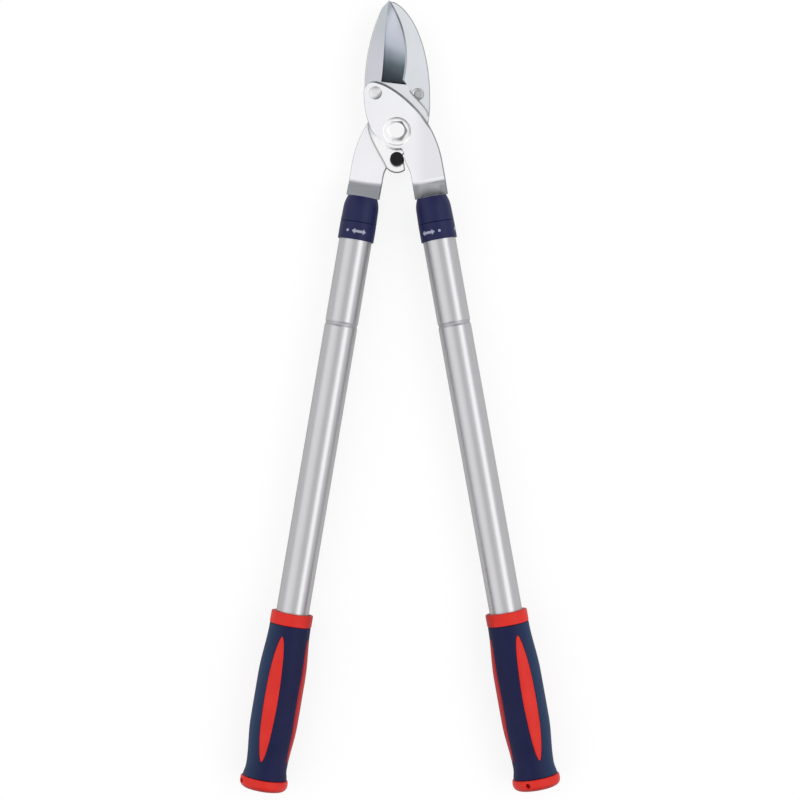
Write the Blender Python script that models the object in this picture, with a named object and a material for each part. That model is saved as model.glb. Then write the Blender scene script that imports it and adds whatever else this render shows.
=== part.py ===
"""Telescopic bypass lopper: two levers on one pivot bolt, each with a telescoping twist-lock handle.

Metres, +Z up. The lopper lies on its back with its jaws shut. +Y runs from the grips to the tips of
the jaws, and +Z is the face with the bolt head. The origin is on the pivot axis, on the end face of
the pivot nut. Along a handle, s is the distance down the tube's axis from the point nearest the
pivot, and v is the distance across it, away from the other handle.
"""
from math import atan2, cos, degrees, pi, radians, sin, sqrt

import bmesh
import bpy
from mathutils import Matrix, Vector

# Gap left between pieces that touch or slide on the real tool
GAP = 0.0003
# Points of a mesh closer than this are one point
WELD = 0.000001
# Facets around tubes and grips, and around bolts and rivets
TUBE_SIDES = 24
BOLT_SIDES = 20

# Lie of each handle with the jaws shut
HANDLE_LEAN = radians(9.90)
# How far from the pivot axis the inner flank of each arm passes
FLANK_INSET = 0.0053

# Plates, and the bolt that holds them
ARM_THICKNESS = 0.0045
BLADE_THICKNESS = 0.0045
HOOK_THICKNESS = 0.0050
EDGE_CHAMFER = 0.0006
BOLT_DIAMETER = 0.0100
BOLT_HEAD_FLATS = 0.0160
BOLT_HEAD_HEIGHT = 0.0065
WASHER_DIAMETER = 0.0246
WASHER_THICKNESS = 0.0015
NUT_FLATS = 0.0160
NUT_HEIGHT = 0.0093
NUT_COLLAR_HEIGHT = 0.0026
NUT_COLLAR_DIAMETER = 0.0146

# Jaws
JAW_REACH = 0.1158
JAW_HALF_WIDTH = 0.0290
EDGE_LAND = 0.0004
HOLLOW_DEPTH = 0.0006
GRIND_RUNOUT = 0.0015
BLADE_LOBE_RADIUS = 0.0100

# Rivets, one each side of the centre line
RIVET_ACROSS = 0.0186
RIVET_UP = 0.0338
RIVET_DIAMETER = 0.0050
RIVET_HEAD_DIAMETER = 0.0114
RIVET_HEAD_HEIGHT = 0.0022
RIVET_SINK_DIAMETER = 0.0104
RIVET_SINK_DEPTH = 0.0022
RIVET_RECESS = 0.0001

# Arms
ARM_WIDTH = 0.0294
ARM_LOBE_RADIUS = 0.0103
ARM_CREST_RADIUS = 0.0279
ARM_STOP_BULGE = 0.0026
ARM_STRAIGHT_START = 0.0330
JOGGLE_LENGTH = 0.0145
JOGGLE_STEPS = 6
TANG_LENGTH = 0.0330

# Rubber bumper between the hook's tail and the opposite arm
BUMPER_DIAMETER = 0.0130
BUMPER_WAIST_DIAMETER = 0.0098
BUMPER_ALONG = 0.0231
BUMPER_STOP_GAP = 0.0004
BUMPER_BACK_FLANGE = 0.0025
LUG_WALL = 0.0065
HEEL_CLEARANCE = 0.0022

# Tubes
OUTER_TUBE_DIAMETER = 0.0290
OUTER_TUBE_WALL = 0.0015
OUTER_TUBE_LENGTH = 0.4924
TUBE_PLAY = 0.0010
INNER_TUBE_WALL = 0.0012
INNER_TUBE_SHORTER = 0.0550
GROOVE_SETBACK = 0.0892
GROOVE_WIDTH = 0.0048
SOCKET_WALL = 0.0018
SOCKET_FLOOR = 0.0050
PIN_DIAMETER = 0.0050
PIN_SETBACK = 0.0200
PLUG_SPIGOT = 0.0150
PLUG_FLANGE = 0.0100
STOP_MARGIN = 0.0010

# Twist lock
COLLAR_START = 0.0613
COLLAR_LENGTH = 0.0226
COLLAR_LIP = 0.0068
COLLAR_RIM_WALL = 0.0008
COLLAR_SHOULDER = 0.0110
COLLAR_SHOULDER_RAISE = 0.0010
COLLAR_RAISE = 0.0014
SHOULDER_GAP = 0.0005
COLLET_LENGTH = 0.0060
COLLET_WALL = 0.0014
COLLET_SLOT = 0.0016
FERRULE_LENGTH = 0.0154
FERRULE_LIP = 0.0015
FERRULE_RAISE = 0.0014
FERRULE_EASE = 0.0005

# Grip, its red core, navy sleeve and end cap
GRIP_LENGTH = 0.1468
CORE_WALL = 0.0016
RING_LENGTH = 0.0108
RING_RAISE = 0.0040
SLEEVE_TOP_WALL = 0.0015
SLEEVE_BARREL_WALL = 0.00425
SLEEVE_NECK_WALL = 0.0014
SLEEVE_FLARE_WALL = 0.0028
BARREL_START = 0.0460
BARREL_END = 0.0850
NECK_AT = 0.1270
INLAY_HALF_WIDTH = 0.0062
INLAY_HALF_LENGTH = 0.0554
INLAY_CENTRE = 0.0648
INLAY_TURNS = (12, -76, -168, -256)
CAP_HEIGHT = 0.0103
CAP_RAISE = 0.0066
CAP_ROUND = 0.0040
CAP_SPIGOT = 0.0100
CAP_HOLE_DIAMETER = 0.0034
CAP_HOLE_DEPTH = 0.0050
CAP_HOLE_TURNS = {"left": -65, "right": -24}

# Heights of the stack over the nut's end face, from the back of the tool to its face
BACK_WASHER_Z = NUT_HEIGHT + GAP
BACK_ARM_Z = BACK_WASHER_Z + WASHER_THICKNESS + GAP
HOOK_Z = BACK_ARM_Z + ARM_THICKNESS + GAP
BLADE_Z = HOOK_Z + HOOK_THICKNESS + GAP
FRONT_ARM_Z = BLADE_Z + BLADE_THICKNESS + GAP
FRONT_WASHER_Z = FRONT_ARM_Z + ARM_THICKNESS + GAP
HEAD_Z = FRONT_WASHER_Z + WASHER_THICKNESS + GAP
AXIS_HEIGHT = (BACK_ARM_Z + FRONT_ARM_Z + ARM_THICKNESS) / 2

# Radii that follow from the tubes
OUTER_RADIUS = OUTER_TUBE_DIAMETER / 2
OUTER_BORE = OUTER_RADIUS - OUTER_TUBE_WALL
INNER_RADIUS = OUTER_BORE - TUBE_PLAY
INNER_BORE = INNER_RADIUS - INNER_TUBE_WALL
SOCKET_RADIUS = INNER_BORE - GAP
GUIDE_RADIUS = OUTER_BORE - GAP
SLIDE_BORE = INNER_RADIUS + GAP
NOSE_RADIUS = SLIDE_BORE + COLLET_WALL
COLLAR_BORE = NOSE_RADIUS + GAP
CORE_BORE = OUTER_RADIUS + GAP
CORE_RADIUS = CORE_BORE + CORE_WALL
SLEEVE_BORE = CORE_RADIUS + GAP
TANG_HALF_WIDTH = sqrt((SOCKET_RADIUS - SOCKET_WALL) ** 2 - (ARM_THICKNESS / 2 + GAP) ** 2) - GAP

# How far from the pivot axis each handle's axis passes
HANDLE_OFFSET = FLANK_INSET + ARM_WIDTH / 2

# Stations down each handle
SHOULDER = COLLAR_START - SHOULDER_GAP
JOGGLE_END = SHOULDER - SHOULDER_GAP
INNER_TUBE_START = SHOULDER + GAP
INNER_TUBE_LENGTH = OUTER_TUBE_LENGTH - INNER_TUBE_SHORTER
INNER_TUBE_END = INNER_TUBE_START + INNER_TUBE_LENGTH
TANG_END = SHOULDER + TANG_LENGTH
PIN_AT = SHOULDER + PIN_SETBACK
COLLET_START = COLLAR_START + COLLAR_LIP + GAP
NOSE_START = COLLET_START + COLLET_LENGTH + GAP
FERRULE_START = COLLAR_START + COLLAR_LENGTH + GAP
OUTER_TUBE_START = FERRULE_START + FERRULE_LIP + GAP
OUTER_TUBE_END = OUTER_TUBE_START + OUTER_TUBE_LENGTH
GROOVE_AT = OUTER_TUBE_START + GROOVE_SETBACK
GRIP_START = OUTER_TUBE_END - GRIP_LENGTH
SLEEVE_START = GRIP_START + RING_LENGTH + GAP
CAP_START = OUTER_TUBE_END + GAP
TELESCOPE_TRAVEL = INNER_TUBE_END + GAP - GROOVE_AT - GROOVE_WIDTH / 2 - STOP_MARGIN


def remove_everything():
    """Empties the scene."""
    for item in list(bpy.data.objects):
        bpy.data.objects.remove(item, do_unlink=True)


def finish(name, colour, roughness, metallic):
    """A plain finish: colour, roughness and how metallic it is."""
    surface = bpy.data.materials.new(name)
    surface.use_nodes = True
    shader = surface.node_tree.nodes["Principled BSDF"]
    shader.inputs["Base Color"].default_value = (*colour, 1.0)
    shader.inputs["Roughness"].default_value = roughness
    shader.inputs["Metallic"].default_value = metallic
    return surface


def polar(centre, radius, angle):
    """The point at a distance and an angle in degrees from a centre."""
    return Vector(centre) + radius * Vector((cos(radians(angle)), sin(radians(angle))))


def arc(centre, radius, start, end, steps):
    """Points around a circle from one angle to another, without the last."""
    return [polar(centre, radius, start + (end - start) * i / steps) for i in range(steps)]


def bezier(p0, p1, p2, p3, steps):
    """Points along a cubic curve, without the last."""
    points = []
    for i in range(steps):
        t = i / steps
        u = 1 - t
        points.append(u ** 3 * p0 + 3 * u * u * t * p1 + 3 * u * t * t * p2 + t ** 3 * p3)
    return points


def swoop(start, start_angle, end, end_angle, steps, pulls=(0.35, 0.35)):
    """A curve that leaves one point and reaches another in given directions."""
    span = (end - start).length
    leave = polar(start, pulls[0] * span, start_angle)
    reach = polar(end, -pulls[1] * span, end_angle)
    return bezier(start, leave, reach, end, steps)


def jaw(across, along):
    """A point on the jaws: across as a share of their half width, along from the bolt to the tip.

    along is -1 at the bolt, 0 level with the rivets and 1 at the tip.
    """
    reach = RIVET_UP if along < 0 else JAW_REACH - RIVET_UP
    return Vector((across * JAW_HALF_WIDTH, RIVET_UP + along * reach))


def handle_point(s, v):
    """A point of the right-hand handle in the plan, from its place along and across the tube."""
    across = Vector((cos(HANDLE_LEAN), sin(HANDLE_LEAN)))
    down = Vector((sin(HANDLE_LEAN), -cos(HANDLE_LEAN)))
    return (HANDLE_OFFSET + v) * across + s * down


def mesh_of(shape, name):
    """Turns a bmesh into a mesh with its faces pointing out."""
    bmesh.ops.recalc_face_normals(shape, faces=shape.faces)
    mesh = bpy.data.meshes.new(name)
    shape.to_mesh(mesh)
    shape.free()
    return mesh


def plate(name, outline, base, thickness, chamfered=None):
    """A flat plate of a given outline; chamfered is the height of the face whose rim is chamfered."""
    shape = bmesh.new()
    face = shape.faces.new([shape.verts.new((p.x, p.y, base)) for p in outline])
    raised = bmesh.ops.extrude_face_region(shape, geom=[face])["geom"]
    tops = [item for item in raised if isinstance(item, bmesh.types.BMVert)]
    bmesh.ops.translate(shape, verts=tops, vec=(0, 0, thickness))
    if chamfered is not None:
        rim = [e for e in shape.edges if all(abs(v.co.z - chamfered) < GAP / 10 for v in e.verts)]
        bmesh.ops.bevel(shape, geom=rim, offset=EDGE_CHAMFER, segments=1, affect="EDGES")
    return mesh_of(shape, name)


def turned(name, profile, sides):
    """A piece turned about Z from (radius, height) points around its section."""
    shape = bmesh.new()
    rings = []
    for radius, height in profile:
        if radius == 0:
            rings.append([shape.verts.new((0, 0, height))] * sides)
            continue
        turn = [2 * pi * i / sides for i in range(sides)]
        rings.append([shape.verts.new((radius * cos(a), radius * sin(a), height)) for a in turn])
    for ring, after in zip(rings, rings[1:] + rings[:1]):
        for i in range(sides):
            corners = [ring[i - 1], ring[i], after[i], after[i - 1]]
            distinct = list(dict.fromkeys(corners))
            if len(distinct) > 2:
                shape.faces.new(distinct)
    return mesh_of(shape, name)


def along_handle(mesh):
    """Lays a piece turned about Z along a handle, so that its heights become stations s."""
    mesh.transform(Matrix.Rotation(radians(90), 4, "X"))
    return mesh


def carved(mesh, steps):
    """The mesh after each (operation, tool mesh) in turn."""
    for operation, tool_mesh in steps:
        body = bpy.data.objects.new("body", mesh)
        tool = bpy.data.objects.new("tool", tool_mesh)
        bpy.context.scene.collection.objects.link(body)
        bpy.context.scene.collection.objects.link(tool)
        cut = body.modifiers.new(operation, "BOOLEAN")
        cut.operation = operation
        cut.object = tool
        scene_state = bpy.context.evaluated_depsgraph_get()
        mesh = bpy.data.meshes.new_from_object(body.evaluated_get(scene_state))
        bpy.data.objects.remove(body, do_unlink=True)
        bpy.data.objects.remove(tool, do_unlink=True)
        mesh.materials.clear()
        shape = bmesh.new()
        shape.from_mesh(mesh)
        bmesh.ops.remove_doubles(shape, verts=shape.verts, dist=WELD)
        shape.to_mesh(mesh)
        shape.free()
    return mesh


def rod(radius, low, high, centre=(0, 0), sides=BOLT_SIDES):
    """A plain round bar along Z, for holes and shanks."""
    mesh = turned("rod", [(0, low), (radius, low), (radius, high), (0, high)], sides)
    mesh.transform(Matrix.Translation((*centre, 0)))
    return mesh


def hexagon(flats, low, high):
    """A six-sided bar along Z, given across its flats."""
    corner = flats / 2 / cos(pi / 6)
    return turned("hexagon", [(0, low), (corner, low), (corner, high), (0, high)], 6)


def box(low, high):
    """A box between two corners."""
    shape = bmesh.new()
    bmesh.ops.create_cube(shape, size=1)
    size = Vector(high) - Vector(low)
    middle = (Vector(high) + Vector(low)) / 2
    bmesh.ops.scale(shape, vec=size, verts=shape.verts)
    bmesh.ops.translate(shape, vec=middle, verts=shape.verts)
    return mesh_of(shape, "box")


def place(name, mesh, surface, parent, rounded=False):
    """Adds a finished piece to the scene under its carrier."""
    mesh.name = name
    mesh.materials.append(surface)
    if rounded:
        mesh.shade_smooth()
        mesh.set_sharp_from_angle(angle=radians(40))
    piece = bpy.data.objects.new(name, mesh)
    bpy.context.scene.collection.objects.link(piece)
    piece.parent = parent
    return piece


def carrier(name, location, turn=0.0, parent=None):
    """An empty on a joint's axis, which carries the pieces that move together."""
    empty = bpy.data.objects.new(name, None)
    empty.location = location
    empty.rotation_euler = (0, 0, turn)
    empty.parent = parent
    bpy.context.scene.collection.objects.link(empty)
    return empty


def bumper_centre():
    """The bumper's axis in the plan, so that its side nearly meets the right arm's bulge."""
    stop = ARM_WIDTH / 2 + ARM_STOP_BULGE
    return handle_point(BUMPER_ALONG, -(stop + BUMPER_STOP_GAP + BUMPER_DIAMETER / 2))


def heel_radius():
    """Radius round the bolt that the arms keep inside, so that they swing past the bumper."""
    return bumper_centre().length - BUMPER_DIAMETER / 2 - HEEL_CLEARANCE


def arm_outline():
    """The right arm in the plan, from its rivet lobe round the heel, down the tang and back."""
    rivet = Vector((-RIVET_ACROSS, RIVET_UP))
    pivot = Vector((0, 0))
    heel = heel_radius()
    half = ARM_WIDTH / 2
    down = degrees(HANDLE_LEAN) - 90
    stop = half + ARM_STOP_BULGE
    meet = handle_point(sqrt(heel ** 2 - (HANDLE_OFFSET - stop) ** 2), -stop)
    meet_angle = degrees(atan2(meet.y, meet.x)) % 360
    heel_start = polar(pivot, heel, 212)
    heel_end = polar(pivot, heel, meet_angle - 10)
    bulge_start = handle_point(BUMPER_ALONG - BUMPER_DIAMETER / 4, -stop)
    bulge_end = handle_point(BUMPER_ALONG + BUMPER_DIAMETER / 4, -stop)
    inner_start = handle_point(BUMPER_ALONG + 1.2 * BUMPER_DIAMETER, -half)
    crest = polar(pivot, ARM_CREST_RADIUS, 17)
    outer_start = handle_point(ARM_STRAIGHT_START, half)
    outline = arc(rivet, ARM_LOBE_RADIUS, 80, 182, 8)
    outline += swoop(polar(rivet, ARM_LOBE_RADIUS, 182), 272, heel_start, 322, 8, (0.57, 0.28))
    outline += arc(pivot, heel, 212, meet_angle - 10, 8)
    outline += swoop(heel_end, meet_angle + 80, bulge_start, down, 3)
    outline += [bulge_start]
    outline += swoop(bulge_end, down, inner_start, down, 4)
    outline += [inner_start, handle_point(SHOULDER, -half)]
    outline += [handle_point(SHOULDER, -TANG_HALF_WIDTH), handle_point(TANG_END, -TANG_HALF_WIDTH)]
    outline += [handle_point(TANG_END, TANG_HALF_WIDTH), handle_point(SHOULDER, TANG_HALF_WIDTH)]
    outline += [handle_point(SHOULDER, half)]
    outline += swoop(outer_start, down + 180, crest, 122, 6, (0.35, 0.3))
    outline += swoop(crest, 122, polar(rivet, ARM_LOBE_RADIUS, 80), 170, 10, (0.38, 0.2))
    return outline


def joggled(mesh, start_height, end_height):
    """Bends a right-hand arm so that its plate runs from one height to another down the handle."""
    down = Vector((sin(HANDLE_LEAN), -cos(HANDLE_LEAN), 0))
    start = JOGGLE_END - JOGGLE_LENGTH
    stations = [start + JOGGLE_LENGTH * i / JOGGLE_STEPS for i in range(JOGGLE_STEPS + 1)]
    lifts = [(end_height - start_height) * (1 - cos(pi * i / JOGGLE_STEPS)) / 2
             for i in range(JOGGLE_STEPS + 1)]
    shape = bmesh.new()
    shape.from_mesh(mesh)
    for s in stations:
        parts = shape.verts[:] + shape.edges[:] + shape.faces[:]
        bmesh.ops.bisect_plane(shape, geom=parts, plane_co=down * s, plane_no=down, dist=GAP / 100)
    for vert in shape.verts:
        share = (vert.co.dot(down) - start) / JOGGLE_LENGTH * JOGGLE_STEPS
        low = min(max(int(share), 0), JOGGLE_STEPS - 1)
        part = min(max(share - low, 0), 1)
        vert.co.z += lifts[low] + (lifts[low + 1] - lifts[low]) * part
    return mesh_of(shape, mesh.name)


def arm_mesh(base, face_height):
    """One stamped arm as the right-hand one, bored for its bolt, its rivet and its tang pin."""
    mesh = plate("arm", arm_outline(), base, ARM_THICKNESS, face_height)
    mesh = joggled(mesh, base, AXIS_HEIGHT - ARM_THICKNESS / 2)
    above = HEAD_Z + BOLT_HEAD_HEIGHT
    holes = [
        rod(BOLT_DIAMETER / 2 + GAP, 0, above),
        rod(RIVET_DIAMETER / 2 + GAP, 0, above, (-RIVET_ACROSS, RIVET_UP)),
        rod(PIN_DIAMETER / 2 + GAP, 0, above, handle_point(PIN_AT, 0)),
    ]
    return carved(mesh, [("DIFFERENCE", hole) for hole in holes])


def front_arm(surface, parent):
    """The right-hand arm, in front of the blade."""
    mesh = arm_mesh(FRONT_ARM_Z, FRONT_ARM_Z + ARM_THICKNESS)
    place("front_arm", mesh, surface, parent)


def back_arm(surface, parent):
    """The left-hand arm behind the hook: the same stamping turned over, as a half turn about Y."""
    mesh = arm_mesh(FRONT_ARM_Z, FRONT_ARM_Z + ARM_THICKNESS)
    middle = Matrix.Translation((0, 0, AXIS_HEIGHT))
    mesh.transform(middle @ Matrix.Rotation(pi, 4, "Y") @ middle.inverted())
    place("back_arm", mesh, surface, parent)


def cutting_edge():
    """The blade's convex edge, from its heel to its tip, as four control points."""
    return jaw(0.234, 0.156), jaw(0.407, 0.424), jaw(0.328, 0.728), jaw(-0.179, 0.996)


def grind_border():
    """The line where the blade's hollow grind meets its flat face, from heel to tip."""
    return jaw(-0.469, 0.129), jaw(-0.359, 0.362), jaw(-0.386, 0.696), jaw(-0.250, 0.977)


def blade_outline():
    """The cutting blade in the plan, from its tip down the spine and round the tang."""
    rivet = Vector((-RIVET_ACROSS, RIVET_UP))
    pivot = Vector((0, 0))
    tang = heel_radius() - EDGE_CHAMFER
    corner = jaw(0.962, -0.644)
    flank = jaw(0.955, -0.485)
    nose = jaw(0.324, 0.103)
    spine_end = jaw(-0.966, 0.147)
    outline = [jaw(-0.210, 0.999)]
    outline += bezier(jaw(-0.424, 0.921), jaw(-0.741, 0.705), jaw(-0.938, 0.407), spine_end, 9)
    outline += [spine_end]
    outline += arc(rivet, BLADE_LOBE_RADIUS, 165, 235, 5)
    outline += swoop(polar(rivet, BLADE_LOBE_RADIUS, 235), 325, polar(pivot, tang, 190), 280, 5)
    outline += arc(pivot, tang, 190, 345, 10)
    outline += swoop(polar(pivot, tang, 345), 75, corner, 85, 4)
    outline += swoop(corner, 95, flank, 116, 2)
    outline += swoop(flank, 116, nose, 108, 6)
    outline += [nose]
    outline += bezier(*cutting_edge(), 12)
    return outline


def grind_tool():
    """The solid that the hollow grind takes off the blade: a strip from the border past the edge."""
    top = BLADE_Z + BLADE_THICKNESS
    stations = 12
    past = 0.25
    shape = bmesh.new()
    sections = []
    border = [jaw(-0.469, 0.126)] + bezier(*grind_border(), stations) + [grind_border()[3]]
    edge = [jaw(0.324, 0.092)] + bezier(*cutting_edge(), stations) + [cutting_edge()[3]]
    runout = Vector((0, GRIND_RUNOUT))
    border.append(border[-1] + runout)
    edge.append(edge[-1] + runout)
    for inner, outer in zip(border, edge):
        depth = BLADE_THICKNESS - EDGE_LAND
        across = outer - inner
        section = []
        for share in (-past, 0.0, 0.35, 0.7, 1.0, 1.0 + past):
            hollow = HOLLOW_DEPTH * max(0.0, 1 - (2 * share - 1) ** 2)
            plan = inner + across * share
            section.append(shape.verts.new((plan.x, plan.y, top - depth * share - hollow)))
        for share in (1.0 + past, -past):
            plan = inner + across * share
            section.append(shape.verts.new((plan.x, plan.y, top + depth)))
        sections.append(section)
    count = len(sections[0])
    for near, far in zip(sections, sections[1:]):
        for i in range(count):
            j = (i + 1) % count
            shape.faces.new((near[i], near[j], far[j], far[i]))
    shape.faces.new(sections[0])
    shape.faces.new(sections[-1][::-1])
    bmesh.ops.triangulate(shape, faces=shape.faces)
    return mesh_of(shape, "grind")


def cutting_blade(surface, parent):
    """The left jaw: a hollow-ground blade on a flat tang, bored for the bolt and its rivet."""
    mesh = plate("cutting_blade", blade_outline(), BLADE_Z, BLADE_THICKNESS, BLADE_Z + BLADE_THICKNESS)
    below = BLADE_Z - BLADE_THICKNESS
    above = BLADE_Z + 2 * BLADE_THICKNESS
    place("cutting_blade", carved(mesh, [
        ("DIFFERENCE", grind_tool()),
        ("DIFFERENCE", rod(BOLT_DIAMETER / 2 + GAP, below, above)),
        ("DIFFERENCE", rod(RIVET_DIAMETER / 2 + GAP, below, above, (-RIVET_ACROSS, RIVET_UP))),
        ("DIFFERENCE", countersink(BLADE_Z, 1, (-RIVET_ACROSS, RIVET_UP))),
    ]), surface, parent)


def countersink(face, inward, centre):
    """The cone cut into a plate's face for a sunk rivet head; inward is 1 for up and -1 for down."""
    wide = RIVET_SINK_DIAMETER / 2 + GAP
    narrow = RIVET_DIAMETER / 2 + GAP
    depth = RIVET_SINK_DEPTH
    profile = [(0, face - inward * depth), (wide, face - inward * depth), (wide, face),
               (narrow, face + inward * depth), (0, face + inward * depth)]
    mesh = turned("countersink", profile, BOLT_SIDES)
    mesh.transform(Matrix.Translation((*centre, 0)))
    return mesh


def hook_outline():
    """The hook in the plan, from its tip down the counter edge, round the tail lug and back up."""
    centre = bumper_centre()
    pocket = BUMPER_WAIST_DIAMETER / 2 + GAP
    lug = pocket + LUG_WALL
    mouth = 38
    throat = jaw(0.124, 0.126)
    shelf = jaw(-0.483, -0.262)
    shoulder = jaw(-0.885, -0.770)
    flank = jaw(0.966, -0.712)
    crest = jaw(1.014, 0)
    lug_start = polar(centre, lug, 214)
    run_in = degrees(atan2(lug_start.y - shoulder.y, lug_start.x - shoulder.x))
    outline = [jaw(-0.150, 0.994)]
    outline += bezier(jaw(-0.286, 0.966), jaw(0.224, 0.696), jaw(0.293, 0.398), throat, 10)
    outline += swoop(throat, 262, shelf, 205, 6)
    outline += swoop(shelf, 205, shoulder, 265, 5)
    outline += swoop(shoulder, 265, lug_start, run_in, 4, (0.25, 0.25))
    outline += arc(centre, lug, 214, 308, 8)
    outline += [polar(centre, lug, 308)]
    outline += [polar(centre, pocket + LUG_WALL * 0.32, -mouth * 0.72)]
    outline += arc(centre, pocket, 360 - mouth, mouth, 14)
    outline += [polar(centre, pocket, mouth)]
    outline += swoop(polar(centre, pocket + LUG_WALL * 0.32, mouth), 38, flank, 80, 8)
    outline += bezier(flank, jaw(1.04, -0.289), jaw(1.005, -0.187), crest, 3)
    outline += bezier(crest, jaw(1.000, 0.462), jaw(0.586, 0.887), jaw(-0.103, 1), 14)
    return outline


def hook_blade(surface, parent):
    """The right jaw: a hooked counter blade whose tail lug holds the bumper."""
    mesh = plate("hook_blade", hook_outline(), HOOK_Z, HOOK_THICKNESS, HOOK_Z + HOOK_THICKNESS)
    below = HOOK_Z - HOOK_THICKNESS
    above = HOOK_Z + 2 * HOOK_THICKNESS
    place("hook_blade", carved(mesh, [
        ("DIFFERENCE", rod(BOLT_DIAMETER / 2 + GAP, below, above)),
        ("DIFFERENCE", rod(RIVET_DIAMETER / 2 + GAP, below, above, (RIVET_ACROSS, RIVET_UP))),
        ("DIFFERENCE", countersink(HOOK_Z + HOOK_THICKNESS, -1, (RIVET_ACROSS, RIVET_UP))),
    ]), surface, parent)


def pivot_bolt(surface, parent):
    """A hexagon-head bolt whose thread ends level with the nut."""
    top = HEAD_Z + BOLT_HEAD_HEIGHT
    corner = BOLT_HEAD_FLATS / 2 / cos(pi / 6)
    crown = BOLT_HEAD_FLATS / 2
    drop = (corner - crown) * 0.6
    dome = turned("dome", [(0, HEAD_Z), (corner + GAP, HEAD_Z), (corner + GAP, top - drop),
                           (crown, top), (0, top)], BOLT_SIDES)
    head = carved(hexagon(BOLT_HEAD_FLATS, HEAD_Z, top), [("INTERSECT", dome)])
    shank = rod(BOLT_DIAMETER / 2, 0, HEAD_Z + BOLT_HEAD_HEIGHT / 2)
    place("pivot_bolt", carved(head, [("UNION", shank)]), surface, parent)


def pivot_nut(surface, parent):
    """A locking nut: a hexagon with a round collar at its end."""
    collar = rod(NUT_COLLAR_DIAMETER / 2, 0, NUT_HEIGHT / 2)
    bore = rod(BOLT_DIAMETER / 2 + GAP, -NUT_HEIGHT, 2 * NUT_HEIGHT)
    hexagon_part = hexagon(NUT_FLATS, NUT_COLLAR_HEIGHT, NUT_HEIGHT)
    place("pivot_nut", carved(hexagon_part, [("UNION", collar), ("DIFFERENCE", bore)]), surface, parent)


def washer(name, base, surface, parent):
    """A flat washer round the bolt."""
    bore = BOLT_DIAMETER / 2 + GAP
    rim = WASHER_DIAMETER / 2
    top = base + WASHER_THICKNESS
    chamfer = WASHER_THICKNESS / 4
    profile = [(bore, base), (rim, base), (rim, top - chamfer), (rim - chamfer, top), (bore, top)]
    place(name, turned(name, profile, TUBE_SIDES), surface, parent, True)


def domed_head(base, rise, radius):
    """The section of a rivet's domed head, from its rim to its crown; rise is its signed height."""
    return [(radius, base), (0.93 * radius, base + 0.45 * rise), (0.65 * radius, base + 0.8 * rise),
            (0, base + rise)]


def blade_rivet(surface, parent):
    """Fastens the blade to the front arm: a domed head in front and a sunk end behind the blade."""
    end = BLADE_Z + RIVET_RECESS
    seat = FRONT_ARM_Z + ARM_THICKNESS + GAP
    sunk = RIVET_SINK_DIAMETER / 2 - RIVET_RECESS
    shank = RIVET_DIAMETER / 2
    profile = [(0, end), (sunk, end), (shank, end + RIVET_SINK_DEPTH), (shank, seat)]
    profile += domed_head(seat, RIVET_HEAD_HEIGHT, RIVET_HEAD_DIAMETER / 2)
    mesh = turned("blade_rivet", profile, BOLT_SIDES)
    mesh.transform(Matrix.Translation((-RIVET_ACROSS, RIVET_UP, 0)))
    place("blade_rivet", mesh, surface, parent, True)


def hook_rivet(surface, parent):
    """Fastens the hook to the back arm: a sunk head under the blade and a domed head at the back."""
    end = HOOK_Z + HOOK_THICKNESS - RIVET_RECESS
    seat = BACK_ARM_Z - GAP
    sunk = RIVET_SINK_DIAMETER / 2 - RIVET_RECESS
    shank = RIVET_DIAMETER / 2
    profile = [(0, end), (sunk, end), (shank, end - RIVET_SINK_DEPTH), (shank, seat)]
    profile += domed_head(seat, -RIVET_HEAD_HEIGHT, RIVET_HEAD_DIAMETER / 2)
    mesh = turned("hook_rivet", profile, BOLT_SIDES)
    mesh.transform(Matrix.Translation((RIVET_ACROSS, RIVET_UP, 0)))
    place("hook_rivet", mesh, surface, parent, True)


def rubber_bumper(surface, parent):
    """A rubber plug held by its waist in the hook's tail, which the right arm closes against."""
    waist = BUMPER_WAIST_DIAMETER / 2
    flange = BUMPER_DIAMETER / 2
    front = FRONT_ARM_Z + ARM_THICKNESS - 2 * GAP
    over = HOOK_Z + HOOK_THICKNESS + GAP
    under = HOOK_Z - GAP
    back = under - BUMPER_BACK_FLANGE
    soft = BUMPER_BACK_FLANGE / 4
    profile = [(0, back), (flange - soft, back), (flange, back + soft), (flange, under), (waist, under),
               (waist, over), (flange, over), (flange, front - soft), (flange - soft, front), (0, front)]
    mesh = turned("rubber_bumper", profile, BOLT_SIDES)
    mesh.transform(Matrix.Translation((*bumper_centre(), 0)))
    place("rubber_bumper", mesh, surface, parent, True)


def pin_tool():
    """The clearance hole for a tang pin, across a handle."""
    reach = OUTER_RADIUS
    mesh = rod(PIN_DIAMETER / 2 + GAP, -reach, reach)
    mesh.transform(Matrix.Translation((0, -PIN_AT, 0)))
    return mesh


def tang_socket():
    """The plug that carries the arm's tang in the inner tube."""
    end = TANG_END + GAP + SOCKET_FLOOR
    profile = [(0, INNER_TUBE_START), (SOCKET_RADIUS, INNER_TUBE_START), (SOCKET_RADIUS, end), (0, end)]
    mesh = along_handle(turned("tang_socket", profile, TUBE_SIDES))
    half = TANG_HALF_WIDTH + GAP
    thick = ARM_THICKNESS / 2 + GAP
    slot = box((-half, -TANG_END - GAP, -thick), (half, -SHOULDER + GAP, thick))
    return carved(mesh, [("DIFFERENCE", slot), ("DIFFERENCE", pin_tool())])


def tang_pin():
    """The pin through the inner tube, the socket and the tang, level with the tube's outside."""
    reach = INNER_RADIUS - GAP
    mesh = rod(PIN_DIAMETER / 2, -reach, reach)
    mesh.transform(Matrix.Translation((0, -PIN_AT, 0)))
    return mesh


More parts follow.
